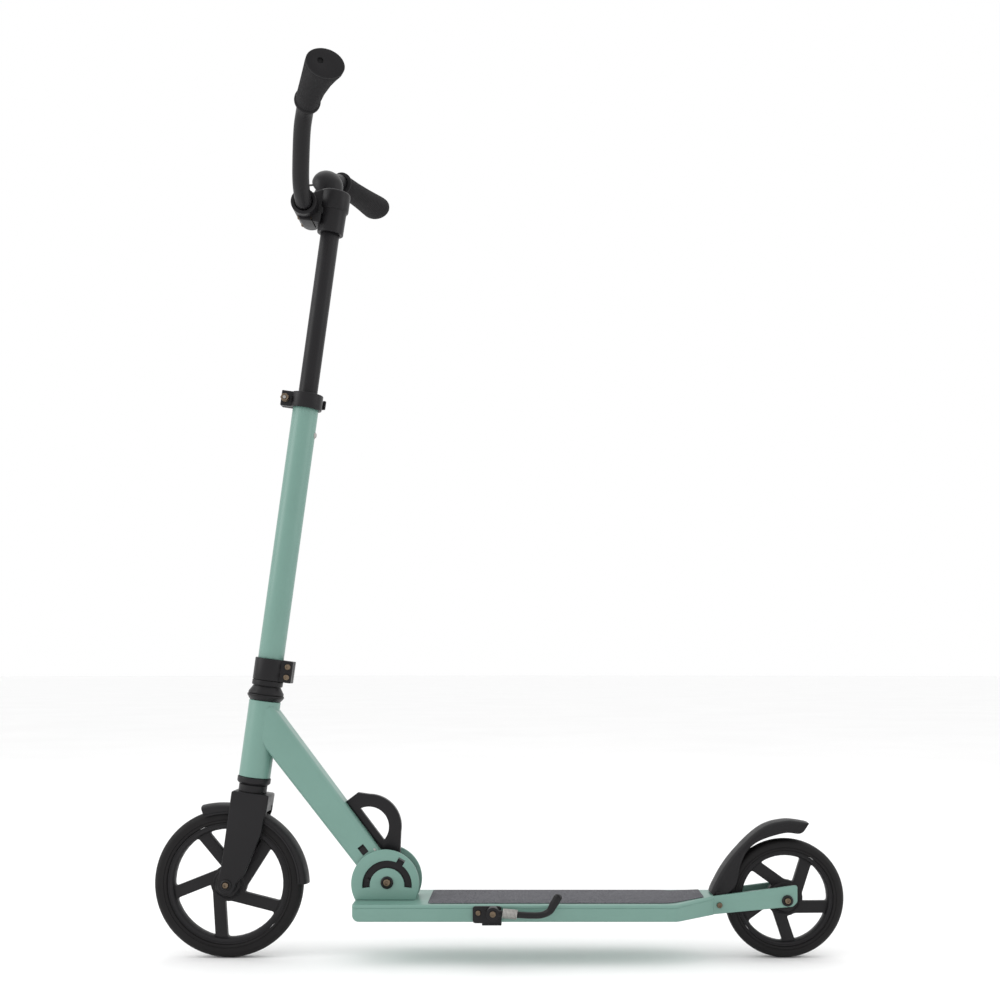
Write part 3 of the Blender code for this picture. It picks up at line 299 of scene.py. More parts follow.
def rounded(corners, radius, count=5, sharp=()):
    """A polygon with its corners rounded, apart from the ones listed in sharp."""
    outline = []
    for i, corner in enumerate(corners):
        if i in sharp:
            outline.append(corner)
            continue
        here = Vector(corner)
        before = Vector(corners[i - 1]) - here
        after = Vector(corners[(i + 1) % len(corners)]) - here
        reach = min(radius, before.length * 0.45, after.length * 0.45)
        start = here + before.normalized() * reach
        end = here + after.normalized() * reach
        for k in range(count + 1):
            t = k / count
            outline.append(tuple(start * (1 - t) ** 2 + here * 2 * t * (1 - t) + end * t ** 2))
    return outline


def smooth_path(points, per_span):
    """A Catmull-Rom path through points, in as many dimensions as they have."""
    knots = [Vector(p) for p in points]
    knots = [knots[0] * 2 - knots[1]] + knots + [knots[-1] * 2 - knots[-2]]
    path = []
    for i in range(1, len(knots) - 2):
        a, b, c, d = knots[i - 1:i + 3]
        for k in range(per_span):
            t = k / per_span
            path.append((b * 2 + (c - a) * t + (a * 2 - b * 5 + c * 4 - d) * t ** 2
                         + (b * 3 - a - c * 3 + d) * t ** 3) / 2)
    path.append(knots[-2])
    return path


def swept(path, radii, place=WORLD, sides=24):
    """A round bar along path. radii is one radius, or one for each point."""
    path = [Vector(p) for p in path]
    if not isinstance(radii, (list, tuple)):
        radii = [radii] * len(path)
    tangents = [(path[min(i + 1, len(path) - 1)] - path[max(i - 1, 0)]).normalized()
                for i in range(len(path))]
    across = tangents[0].orthogonal().normalized()
    sections = []
    for i, (point, radius) in enumerate(zip(path, radii)):
        if i:
            across = tangents[i - 1].rotation_difference(tangents[i]) @ across
        other = tangents[i].cross(across)
        sections.append([point + (across * math.cos(math.tau * k / sides)
                                  + other * math.sin(math.tau * k / sides)) * radius
                         for k in range(sides)])
    return lofted(sections, place)


def coil(start, span, across, above, radius, turns, per_turn=22):
    """A spring of thin wire from start along span, wound in the plane of across and above."""
    path = []
    for i in range(turns * per_turn + 1):
        angle = math.tau * i / per_turn
        path.append(start + span * (i / (turns * per_turn))
                    + (across * math.cos(angle) + above * math.sin(angle)) * radius)
    return swept(path, 0.0008, sides=10)


def block(low, high, edge, place=WORLD):
    """A box whose plan corners and top and bottom edges are rounded."""
    corners = [(low[0], low[1]), (high[0], low[1]), (high[0], high[1]), (low[0], high[1])]
    return outline_plate([rounded(corners, edge, 3)], low[2], high[2], edge * 0.6, place)


def screw(place, shank_radius, length, head_radius, head, sides=48):
    """A button-head screw with a hex socket. Its head stands on the place's Z = 0."""
    socket = head_radius * 0.52
    rings = [(0.0, -length, False), (shank_radius, -length, False), (shank_radius, 0.0, False),
             (head_radius * 0.98, 0.0, False), (head_radius, head * 0.12, False),
             (head_radius, head * 0.50, False), (head_radius * 0.94, head * 0.78, False),
             (head_radius * 0.80, head * 0.96, False), (head_radius * 0.70, head, False),
             (socket * 1.10, head, False), (socket, head * 0.93, True),
             (socket, head * 0.30, True), (0.0, head * 0.22, False)]
    work = bmesh.new()
    loops = []
    for radius, height, hexed in rings:
        loop = []
        for i in range(sides):
            angle = math.tau * i / sides
            fold = math.cos((angle + math.pi / 6) % (math.pi / 3) - math.pi / 6)
            reach = radius * math.cos(math.pi / 6) / fold if hexed else radius
            loop.append(work.verts.new((reach * math.cos(angle), reach * math.sin(angle),
                                        height)))
        loops.append(loop)
    for first, second in zip(loops, loops[1:]):
        for i in range(sides):
            j = (i + 1) % sides
            work.faces.new((first[i], first[j], second[j], second[i]))
    return mesh_from(work, place)


def sleeve(bore, radius, low, high, edge, count, place, steps):
    """A ring with rounded edges round the place's Z, from low to high."""
    profile = [(bore, high), (radius, high), (radius, low), (bore, low)]
    return revolved(rounded(profile, edge, count), place, steps)


def dark_washer(place, inner, outer):
    """A domed ring round a screw's head."""
    profile = [(inner, 0.0026), (inner + 0.0011, 0.0026), (outer, 0.0012), (outer, 0.0),
               (inner, 0.0)]
    return revolved(rounded(profile, 0.0005, 3), place, 64)


def hex_nut(place, bore, radius, height):
    """A hex nut standing on the place's Z = 0, with a collar and chamfered corners."""
    corners = arc((0, 0), radius, 0.0, 300.0, 6)
    body = outline_plate([rounded(corners, radius * 0.10, 3), arc((0, 0), bore, 360.0, 15.0, 24)],
                         height * 0.16, height, radius * 0.06, place)
    collar = revolved([(bore, height * 0.20), (radius * 0.86, height * 0.20),
                       (radius * 0.96, height * 0.10), (radius * 0.96, 0.0), (bore, 0.0)], place,
                      48)
    return merged(body, collar)


def look(node, mesh, sharp=38.0, suffix="look", slot=None):
    """mesh becomes the detailed piece that stands for node, on its body and in its slot."""
    piece = bpy.data.objects.new(f"{node}_{suffix}", mesh)
    bpy.context.scene.collection.objects.link(piece)
    slot = slot or SLOT_OF[node]
    mesh.materials.clear()
    mesh.materials.append(MATERIALS[slot])
    mesh.shade_smooth()
    mesh.set_sharp_from_angle(angle=math.radians(sharp))
    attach(piece, BODY_OF[node])
    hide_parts(node)
    return piece


# ---- wheels ----
def make_wheel(side, hub, radius, rim_outer, window_outer, first_spoke, spoke_offset):
    axis = hub @ ACROSS
    inner = rim_outer + 0.0003
    half = 0.012
    crown_height = 0.0088
    crown = radius - crown_height
    tread = [(crown + crown_height * math.sin(a), half * math.cos(a) ** 0.8)
             for a in [math.radians(90.0 * i / 12) for i in range(12)]]
    groove = [(radius - 0.0001, 0.0014), (radius - 0.0009, 0.0008), (radius - 0.0009, 0.0)]
    upper = [(inner, 0.0104), (inner + 0.0008, 0.0114), (inner + 0.0022, 0.0119),
             (inner + 0.0034, 0.0119), (inner + 0.0038, 0.0114), (inner + 0.0044, 0.0114),
             (inner + 0.0048, 0.0120)]
    upper += [point for point in tread if point[0] > inner + 0.0050] + groove
    lower = [(r, -y) for r, y in reversed(upper[:-1])]
    look(f"{side}_tyre", revolved(upper + lower, axis, 128), 50.0)

    spokes = 5
    pitch = 360.0 / spokes
    window_inner = 0.0245
    spoke_half = 0.0080
    loops = [arc((0, 0), window_outer + 0.0020, 0.0, 354.0, 60)]

    def edge_angle(spoke, offset, reach):
        return spoke - math.degrees(math.asin(offset / reach))

    near, far = spoke_offset - spoke_half, spoke_offset + spoke_half
    for i in range(spokes):
        spoke = first_spoke + pitch * i
        corners = arc((0, 0), window_outer, edge_angle(spoke, near, window_outer),
                      edge_angle(spoke + pitch, far, window_outer), 9)
        corners += arc((0, 0), window_inner, edge_angle(spoke + pitch, far, window_inner),
                       edge_angle(spoke, near, window_inner), 3)
        loops.append(rounded(corners, 0.006, 4, sharp=tuple(range(1, 8)) + (10,))[::-1])
    loops.append(arc((0, 0), 0.0150, 360.0, 10.0, 36))
    web = outline_plate(loops, -0.0055, 0.0055, 0.0013, hub @ SIDE_VIEW)

    hoop = [(window_outer + 0.0004, 0.0050), (window_outer + 0.0010, 0.0078),
            (window_outer + 0.0022, 0.0092), (window_outer + 0.0034, 0.0095),
            (rim_outer - 0.0024, 0.0095), (rim_outer - 0.0018, 0.0091),
            (rim_outer - 0.0010, 0.0095), (rim_outer, 0.0093)]
    ring = revolved(hoop + [(r, -y) for r, y in reversed(hoop)], axis, 120)
    boss = [(0.0113, 0.0143), (0.0118, 0.0145), (0.0150, 0.0145), (0.0160, 0.0141),
            (0.0166, 0.0132), (0.0172, 0.0100), (0.0190, 0.0076), (0.0210, 0.0058),
            (0.0222, 0.0050)]
    hub_body = revolved(boss + [(r, -y) for r, y in reversed(boss)], axis, 72)
    look(f"{side}_rim", merged(web, ring, hub_body), 40.0)

    race = [(0.0043, 0.0072), (0.0043, 0.0143), (0.0062, 0.0143), (0.0066, 0.0136),
            (0.0090, 0.0134), (0.0094, 0.0143), (0.0108, 0.0143), (0.0110, 0.0140),
            (0.0110, 0.0072)]
    for label, turn in (("right", axis), ("left", hub @ ACROSS.inverted())):
        look(f"{side}_bearing_{label}", revolved(race, turn, 48))


make_wheel("front", FRONT_HUB, 0.100, 0.0815, 0.0730, -86.4, 0.0145)
make_wheel("rear", REAR_HUB, 0.080, 0.0640, 0.0575, -71.6, 0.0125)


def make_axle(side, hub, face):
    place = facing(hub.translation + Vector((0, -face - 0.0003, 0)), (0, -1, 0))
    look(f"{side}_axle", screw(place, 0.004, 2 * face + 0.006, 0.0042, 0.0045))
    look(f"{side}_axle", dark_washer(place, 0.0045, 0.0075), suffix="washer",
         slot="black_paint")
    place = facing(hub.translation + Vector((0, face + 0.0003, 0)), (0, 1, 0))
    look(f"{side}_axle_nut", hex_nut(place, 0.0043, 0.0075, 0.0052))


make_axle("front", FRONT_HUB, 0.0225)
make_axle("rear", REAR_HUB, 0.026)


# ---- fork and front fender ----
def make_fork():
    half, crown = 0.0225, 0.124
    corners = [(-0.0237, crown), (-0.0237, 0.020)]
    corners += arc((-AXLE_LEAD, -AXLE_DROP), 0.0125, -180.0, 12.0, 30)
    corners += [(0.0091, 0.0156), (0.0237, 0.072), (0.0240, 0.0900), (0.0262, 0.0985),
                (0.0266, crown)]
    outline = rounded(corners, 0.0035, 5, sharp=range(2, 32))
    legs = side_plate([outline], -half, half, 0.0022, STEER)
    gap = outline_plate([rounded([(-0.0175, -0.06), (0.0175, -0.06), (0.0175, 0.1080),
                                  (-0.0175, 0.1080)], 0.006, 5, sharp=(0, 1))],
                        -0.06, 0.06, 0.0, STEER @ Matrix.Rotation(math.pi / 2, 4, "Z")
                        @ SIDE_VIEW)
    hole = cutter_rod(AXLE_HOLE, 0.05, STEER @ at(-AXLE_LEAD, 0.0, -AXLE_DROP) @ ACROSS, 32)
    body = with_cuts(legs, [gap, hole])
    race = revolved([(0.0114, 0.1242), (0.0114, 0.335), (0.0142, 0.335), (0.0142, 0.1342),
                     (0.0180, 0.1342), (0.0188, 0.1334), (0.0188, 0.1244)], STEER, 64)
    boss = revolved([(0.0, 0.1067), (0.0062, 0.1067), (0.0070, 0.1075), (0.0070, 0.111),
                     (0.0, 0.111)], STEER @ at(-AXLE_LEAD, 0.0, 0.0), 32)
    bridge = side_plate([[(0.008, 0.1078), (0.0255, 0.1010), (0.0255, 0.1085),
                          (0.008, 0.1085)]], -0.0178, 0.0178, 0.0, STEER)
    look("fork", merged(body, race, boss, bridge), 42.0)


make_fork()


def make_front_fender():
    crests = [(0.0, 0.1078), (25.0, 0.1062), (50.0, 0.1055), (75.0, 0.1065), (93.0, 0.1083),
              (109.0, 0.1108)]
    stations = smooth_path(crests, 10)
    shoulder = [(0.0066, 0.0165), (0.0050, 0.0163), (0.0036, 0.0155), (0.0025, 0.0138),
                (0.0015, 0.0108), (0.0007, 0.0068), (0.0001, 0.0028)]
    under = [(0.0023, 0.0028), (0.0030, 0.0066), (0.0040, 0.0100), (0.0054, 0.0126),
             (0.0074, 0.0142)]
    foot = [(0.0945, 0.0147), (0.0945, 0.0162), (0.0950, 0.0165)]
    bead = [(0.0966, 0.0165), (0.0970, 0.0160), (0.0976, 0.0160), (0.0980, 0.0165)]
    sections = []
    for degrees, crest in stations:
        angle = math.radians(degrees)
        right = foot + bead + [(crest - drop, y) for drop, y in shoulder]
        inside = [(crest - drop, y) for drop, y in under] + [(0.0980, 0.0144)]
        shape = right + [(r, -y) for r, y in reversed(right)]
        shape += [(r, -y) for r, y in reversed(inside)] + inside
        sections.append([(r * math.cos(angle), y, r * math.sin(angle)) for r, y in shape])
    look("front_fender", lofted(sections, FRONT_HUB), 40.0)


make_front_fender()


# ---- head tube, headset and down tube ----
def make_head():
    bore = 0.0148
    look("head_tube", revolved(
        [(0.0168, 0.1443), (0.0204, 0.1443), (0.0210, 0.1449), (0.0210, 0.2471),
         (0.0204, 0.2477), (0.0168, 0.2477)], STEER, 96))
    look("headset_lower_cup", revolved(
        rounded([(bore, 0.1440), (0.0222, 0.1440), (0.0222, 0.1372), (0.0195, 0.1344),
                 (bore, 0.1344)], 0.0010, 4), STEER, 80))
    look("headset_upper_cup", revolved(
        rounded([(bore, 0.2560), (0.0245, 0.2560), (0.0245, 0.2535), (0.0205, 0.2480),
                 (bore, 0.2480)], 0.0009, 4), STEER, 80))
    look("headset_cone", revolved(
        rounded([(bore, 0.2752), (0.0205, 0.2752), (0.0205, 0.2684), (0.0180, 0.2680),
                 (0.0235, 0.2590), (0.0235, 0.2563), (bore, 0.2563)], 0.0008, 4), STEER, 80))


make_head()


def tube_section(half_x, half_y, corner, height, shift):
    corners = [(half_x, half_y), (-half_x, half_y), (-half_x, -half_y), (half_x, -half_y)]
    return [(x + shift, y, height) for x, y in rounded(corners, corner, 8)]


def make_down_tube():
    tube = lofted([tube_section(0.0186, 0.0200, 0.0085, 0.0, -0.0018),
                   tube_section(0.0215, 0.0200, 0.0085, 0.2815, -0.0025)], DOWN)
    hollow = lofted([tube_section(0.0158, 0.0172, 0.0060, -0.01, -0.0018),
                     tube_section(0.0187, 0.0172, 0.0060, 0.2915, -0.0025)], DOWN)
    foot = cutter_rod(0.0351, 0.03, DOWN @ ACROSS)
    mitre = outline_plate([[(-0.08, -0.05), (0.006, -0.05), (0.006, 0.05), (-0.08, 0.05)]],
                          0.10, 0.40, 0.0, STEER)
    head = cutter_rod(0.0206, 0.12, STEER @ at(0, 0, 0.20))
    lever_slot = outline_plate([[(0.002, -0.0068), (0.03, -0.0068), (0.03, 0.0068),
                                 (0.002, 0.0068)]], 0.02, 0.0565, 0.0, DOWN)
    bolt_slot = outline_plate([[(-0.0047, -0.03), (0.0047, -0.03), (0.0047, 0.03),
                                (-0.0047, 0.03)]], 0.0475, 0.0600, 0.0, DOWN)
    body = with_cuts(tube, [hollow, foot, mitre, head, lever_slot, bolt_slot])
    look("down_tube", body, 32.0)


make_down_tube()


# ---- folding hinge ----
def make_hinge():
    centre, radius = (-0.0025, -0.0016), 0.0453
    base = DECK_TOP + 0.0003 - PIVOT.z
    foot = math.degrees(math.asin((base - centre[1]) / radius))
    outer = arc(centre, radius, foot, 180.0 - foot, 72)
    slot_centre = Vector((0.0, -0.004))
    reach, notch_half, notch_reach, notch_angle = 0.033, 0.00475, 0.0405, 60.0
    spread = math.degrees(math.asin(notch_half / reach))
    slot_inside = arc(slot_centre, 0.023, -6.0, 186.0, 36)
    plain_slot = slot_inside + arc(slot_centre, reach, 186.0, -6.0, 44)
    slot = slot_inside + arc(slot_centre, reach, 186.0, notch_angle + spread, 26)
    out = Vector((math.cos(math.radians(notch_angle)), math.sin(math.radians(notch_angle))))
    over = Vector((-out.y, out.x))
    slot += [tuple(slot_centre + out * notch_reach + over * notch_half),
             tuple(slot_centre + out * notch_reach - over * notch_half)]
    slot += arc(slot_centre, reach, notch_angle - spread, -6.0, 18)
    hole = arc((0, 0), 0.0053, 360.0, 15.0, 24)
    for label, cut, low, high in (("left", slot, -0.025, -0.021),
                                  ("right", plain_slot, 0.021, 0.025)):
        look(f"hinge_plate_{label}", side_plate([outer, cut[::-1], hole], low, high, 0.0008,
                                                HINGE))
    knuckle = sleeve(0.0053, 0.0345, -0.0206, 0.0206, 0.0016, 4, HINGE @ ACROSS, 96)
    groove = outline_plate([[(0.0165, -0.0068), (0.05, -0.0068), (0.05, 0.0068),
                             (0.0165, 0.0068)]], 0.002, 0.05, 0.0, DOWN)
    look("hinge_knuckle", with_cuts(knuckle, [groove]))
    left = facing(PIVOT + Vector((0, -0.0253, 0)), (0, -1, 0))
    look("hinge_bolt", screw(left, 0.005, 0.0556, 0.0052, 0.0044))
    look("hinge_bolt", dark_washer(left, 0.0055, 0.0084), suffix="washer", slot="black_paint")
    right = facing(PIVOT + Vector((0, 0.0253, 0)), (0, 1, 0))
    look("hinge_nut", hex_nut(right, 0.0053, 0.0088, 0.0055))
    stop_angle, stop_reach = math.radians(175.0), 0.0258
    stop = PIVOT + Vector((stop_reach * math.cos(stop_angle), 0,
                           stop_reach * math.sin(stop_angle)))
    look("fold_stop_pin", revolved(
        rounded([(0.0, 0.0246), (0.0028, 0.0246), (0.0028, -0.0246), (0.0, -0.0246)], 0.0006, 3,
                sharp=(0, 3)), Matrix.Translation(stop) @ ACROSS, 32))


make_hinge()


def make_lock():
    centre = (0.0221, 0.0733)
    outline = [(0.0181, 0.119), (0.038, 0.119)]
    outline += arc(centre, 0.0438, 52.0, -46.0, 40)
    outline += rounded([(0.042, 0.029), (0.0320, 0.0165), (0.0275, 0.0165), (0.0225, 0.026),
                        (0.0175, 0.036)], 0.003, 4, sharp=(0, 4))
    opening = math.degrees(math.acos((0.0275 - centre[0]) / 0.027))
    hole = rounded(arc(centre, 0.027, opening, -opening, 40), 0.0015, 4, sharp=range(1, 39))
    lever = side_plate([outline[::-1], hole], -0.006, 0.006, 0.0017, DOWN)
    foot = block((0.0075, -0.006, 0.0400), (0.0215, 0.006, 0.0490), 0.001, DOWN)
    look("lock_lever", merged(lever, foot), 40.0)
    bolt = block((-0.0044, -0.0206, 0.0479), (0.0044, 0.0206, 0.0569), 0.0006, DOWN)
    shield = block((-0.0060, -0.0164, 0.0470), (0.0060, 0.0164, 0.0612), 0.0006, DOWN)
    look("lock_bolt", merged(bolt, shield))


make_lock()


# ---- stem ----
def clamp_ring(outer, bore, ear_reach, ear_half, slit_half, sign):
    """Plan outline of a split clamp whose ears point to sign * X."""
    ear = math.degrees(math.asin(ear_half / outer))
    slit = math.degrees(math.asin(slit_half / bore))
    loop = rounded([(ear_reach, slit_half), (ear_reach, ear_half), (outer, ear_half)], 0.0022, 4,
                   sharp=(0, 2))
    loop += arc((0, 0), outer, ear, 360.0 - ear, 60)
    loop += rounded([(outer, -ear_half), (ear_reach, -ear_half), (ear_reach, -slit_half)],
                    0.0022, 4, sharp=(0, 2))
    loop += arc((0, 0), bore, 360.0 - slit, slit, 60)
    return [(x * sign, y) for x, y in loop][::sign]


def make_stem():
    tube = revolved([(0.0150, 0.2756), (0.0170, 0.2756), (0.0172, 0.2760), (0.0172, 0.6621),
                     (0.0170, 0.6625), (0.0150, 0.6625)], STEER, 96)
    hole = cutter_rod(0.0045, 0.015, STEER @ at(0.0175, 0, BUTTON_HEIGHT) @ REARWARD, 32)
    look("stem_outer_tube", with_cuts(tube, [hole]))
    dome = [(0.0, 0.0155), (0.0041, 0.0155), (0.0041, 0.0168), (0.0038, 0.0179), (0.0031, 0.0188),
            (0.0020, 0.0194), (0.0, 0.0196)]
    look("snap_button", revolved(dome, STEER @ at(0, 0, BUTTON_HEIGHT) @ REARWARD, 32))
    look("stem_bush", sleeve(0.0130, 0.0147, 0.625, 0.6620, 0.0003, 3, STEER, 64))
    look("stem_inner_tube", revolved(
        [(0.0105, 0.565), (0.0124, 0.565), (0.0127, 0.5655), (0.0127, 0.9215), (0.0124, 0.922),
         (0.0105, 0.922)], STEER, 80))
    clamp = outline_plate([clamp_ring(0.0205, 0.0175, 0.0325, 0.0115, 0.0010, 1)], 0.2756, 0.305,
                          0.0009, STEER)
    look("stem_clamp", clamp)
    for label, height in (("lower", 0.2830), ("upper", 0.2970)):
        origin = STEER @ Vector((0.0262, -0.0118, height))
        look(f"stem_clamp_bolt_{label}", screw(facing(origin, (0, -1, 0)), 0.0023, 0.0243,
                                               0.0040, 0.0030, 36))


make_stem()


def make_quick_release():
    middle, lead, cam_y = 0.65575, 0.0275, 0.0158
    collar = outline_plate([clamp_ring(0.0212, 0.0175, 0.0335, 0.0095, 0.0012, -1)], 0.6455,
                           0.6660, 0.0009, STEER)
    look("qr_collar", collar)
    blade = arc((0, 0), 0.0282, 150.0, 34.0, 36) + arc((0, 0), 0.0262, 32.0, 31.0, 2)
    blade += arc((0, 0), 0.0243, 34.0, 146.0, 36)
    lever = outline_plate([blade], middle - 0.0050, middle + 0.0072, 0.0012, STEER)
    cams = [sleeve(0.0023, 0.0058, low, high, 0.0005, 3, STEER @ at(-lead, cam_y, 0.0), 40)
            for low, high in ((middle + 0.0029, middle + 0.0058),
                              (middle - 0.0058, middle - 0.0029))]
    look("qr_lever", merged(lever, *cams))
    origin = STEER @ Vector((-lead, -0.0098, middle))
    look("qr_nut", hex_nut(facing(origin, (0, -1, 0)), 0.0026, 0.0058, 0.0057))


make_quick_release()


# ---- handlebar ----
BAR_END = Vector((0.0099, 0.2471, 1.0108))
GRIP_DIRECTION = Vector((0.2965, 0.9524, 0.0638)).normalized()
GRIP_LENGTH = 0.112
BAR_KNOTS = [Vector((-0.0345, 0.0, 0.9143)), Vector((-0.0345, 0.031, 0.9143)),
             Vector((-0.0345, 0.039, 0.9153)), Vector((-0.0350, 0.066, 0.9335)),
             Vector((-0.0335, 0.100, 0.9770)), Vector((-0.0300, 0.1175, 0.9960))]
BAR_KNOTS += [BAR_END - GRIP_DIRECTION * reach for reach in (0.118, 0.108, 0.054, 0.004)]


def make_handlebar():
    half = smooth_path(BAR_KNOTS, 10)
    path = [Vector((p.x, -p.y, p.z)) for p in reversed(half[1:])] + half
    look("handlebar", swept(path, BAR_RADIUS, STEER, 40), 45.0)


make_handlebar()


def make_grip(label, sign):
    """Fine ribs between a round flange and a flared oval end."""
    along = GRIP_DIRECTION
    start = BAR_END - along * GRIP_LENGTH
    rear = Vector((along.y, -along.x, 0.0)).normalized()
    up = rear.cross(along)
    if up.z < 0:
        up = -up
    # distance along the grip, half depth, half height, shift to the rear, shift up
    table = [(0.0055, 0.0150, 0.0148, 0.0, 0.0), (0.040, 0.0163, 0.0150, 0.0008, 0.0),
             (0.070, 0.0188, 0.0156, 0.0026, -0.0002), (0.088, 0.0210, 0.0163, 0.0043, -0.0006),
             (0.102, 0.0229, 0.0171, 0.0058, -0.0011), (0.112, 0.0232, 0.0175, 0.0062, -0.0013)]

    def station(distance):
        for first, second in zip(table, table[1:]):
            if distance <= second[0]:
                t = max(0.0, (distance - first[0]) / (second[0] - first[0]))
                return [a + (b - a) * t for a, b in zip(first[1:], second[1:])]
        return list(table[-1][1:])

    rows = [(0.0000, 0.0158, 0.0158, 0, 0), (0.0006, 0.0164, 0.0164, 0, 0),
            (0.0034, 0.0165, 0.0165, 0, 0), (0.0042, 0.0161, 0.0161, 0, 0),
            (0.0048, 0.0147, 0.0145, 0, 0), (0.0060, 0.0144, 0.0142, 0, 0)]
    pitch, depth = 0.0033, 0.00065
    distance = 0.0075
    while distance < 0.1040:
        for step, cut in ((0.0, depth), (0.22, 0.0), (0.62, 0.0), (0.84, depth)):
            half_depth, half_height, back, lift = station(distance + step * pitch)
            rows.append((distance + step * pitch, half_depth - cut, half_height - cut, back,
                         lift))
        distance += pitch
    for reach, inset in ((0.1085, 0.0), (0.1104, 0.0), (0.1115, 0.0005), (0.1120, 0.0016)):
        half_depth, half_height, back, lift = station(reach)
        rows.append((reach, half_depth - inset, half_height - inset, back, lift))
    half_depth, half_height, back, lift = station(0.112)
    rows.append((0.1120, half_depth * 0.62, half_height * 0.62, back * 0.6, lift * 0.6))
    rows += [(0.1120, 0.0042, 0.0042, 0, 0), (0.1117, 0.0036, 0.0036, 0, 0),
             (0.1092, 0.0034, 0.0034, 0, 0)]
    sections = []
    count = 56
    for reach, half_depth, half_height, back, lift in rows:
        centre = start + along * reach + rear * back + up * lift
        section = []
        for i in range(count):
            angle = math.tau * i / count
            point = centre + rear * (half_depth * math.cos(angle))
            point += up * (half_height * math.sin(angle))
            section.append((point.x, point.y * sign, point.z))
        sections.append(section)
    grip = lofted(sections, STEER)
    bore_end = BAR_END - along * 0.003
    bore_start = start - along * 0.01
    first = Vector((bore_start.x, bore_start.y * sign, bore_start.z))
    last = Vector((bore_end.x, bore_end.y * sign, bore_end.z))
    bore = swept([first, (first + last) / 2, last], BAR_RADIUS + 0.0008, STEER, 40)
    look(f"grip_{label}", with_cuts(grip, [bore]), 50.0)


make_grip("left", -1)
make_grip("right", 1)


def make_stem_head():
    lead, height = 0.0345, 0.9143
    cap = [(0.0133, 0.885), (0.0170, 0.885), (0.0175, 0.8856), (0.0180, 0.9125),
           (0.0184, 0.9155), (0.0198, 0.9165), (0.0204, 0.9182), (0.0204, 0.9385),
           (0.0200, 0.9402), (0.0190, 0.9414), (0.0150, 0.9427), (0.0080, 0.9436),
           (0.0, 0.9440), (0.0, 0.9225), (0.0133, 0.9225)]
    head = revolved(cap, STEER, 80)
    barrel = sleeve(0.0119, 0.0172, -0.034, 0.034, 0.0012, 4,
                    STEER @ at(-lead, 0, height) @ ACROSS, 72)
    neck = side_plate([rounded([(-lead, height - 0.008), (-0.0100, height - 0.008),
                                (-0.0100, 0.9400), (-0.0170, 0.9398), (-lead, 0.9305)],
                               0.004, 4)], -0.0150, 0.0150, 0.0020, STEER)
    lug = side_plate([rounded([(-0.0525, 0.9103), (-0.0394, 0.8940), (-0.0120, 0.8940),
                               (-0.0120, 0.9080), (-0.0345, 0.9080)], 0.0022, 4)],
                     -0.020, 0.020, 0.0014, STEER)
    tube_bore = cutter_rod(0.0133, 0.05, STEER @ at(0, 0, 0.8725))
    bar_bore = cutter_rod(0.0119, 0.06, STEER @ at(-lead, 0, height) @ ACROSS)
    split = side_plate([[(-0.0310, 0.9060), (-0.0200, 0.8900), (-0.0184, 0.8900),
                         (-0.0290, 0.9055)]], -0.05, 0.05, 0.0, STEER)
    seats = []
    for y in (-0.0145, 0.0145):
        seats.append(cutter_rod(0.0048, 0.0102, STEER @ at(-0.0497, y, 0.8990) @ REARWARD, 32))
    neck = with_cuts(neck, [tube_bore, bar_bore])
    lug = with_cuts(lug, [tube_bore.copy(), bar_bore.copy(), split] + seats)
    look("stem_head", merged(head, barrel, neck, lug), 35.0)
    for label, y in (("left", -0.0145), ("right", 0.0145)):
        origin = STEER @ Vector((-0.0398, y, 0.8990))
        outward = STEER.to_3x3() @ Vector((-1, 0, 0))
        look(f"bar_clamp_bolt_{label}", screw(facing(origin, outward), 0.0025, 0.0218, 0.0043,
                                              0.0036, 36))


make_stem_head()


def make_bell():
    knots = BAR_KNOTS[:-1] + [BAR_END]
    path = smooth_path(knots, 3)
    knot = path[11]
    along = (path[12] - path[10]).normalized()
    up = Vector((0.34, -along.z, along.y))
    up = (up - along * up.dot(along)).normalized()
    radius, height, wall = 0.0222, 0.0200, 0.0014
    angles = [math.radians(90.0 * i / 14) for i in range(15)]
    outer = [(radius * math.sin(a), height * math.cos(a)) for a in angles]
    lip = [(radius, 0.0), (radius - 0.0007, -0.0004), (radius - wall, 0.0)]
    inner = [((radius - wall) * math.sin(a), (height - wall) * math.cos(a))
             for a in reversed(angles)]
    outer[0] = (0.0, height)
    inner[-1] = (0.0, height - wall)
    place = STEER @ Matrix.Translation(knot + up * 0.0202)
    place = place @ up.to_track_quat("Z", "Y").to_matrix().to_4x4()
    look("bell_dome", revolved(outer[:-1] + lip + inner[1:], place, 72))
    side = up.cross(along).normalized()
    hinge = knot + up * 0.0140 + side * 0.0165
    tip = hinge + side * 0.012 - along * 0.012
    reach = tip - hinge
    lever = swept([hinge, hinge + reach * 0.04, hinge + reach * 0.45, hinge + reach * 0.72,
                   hinge + reach * 0.90, hinge + reach * 0.98, tip],
                  [0.0008, 0.0014, 0.0014, 0.0020, 0.0022, 0.0018, 0.0008], STEER, 24)
    look("bell_striker", lever, 60.0)


make_bell()


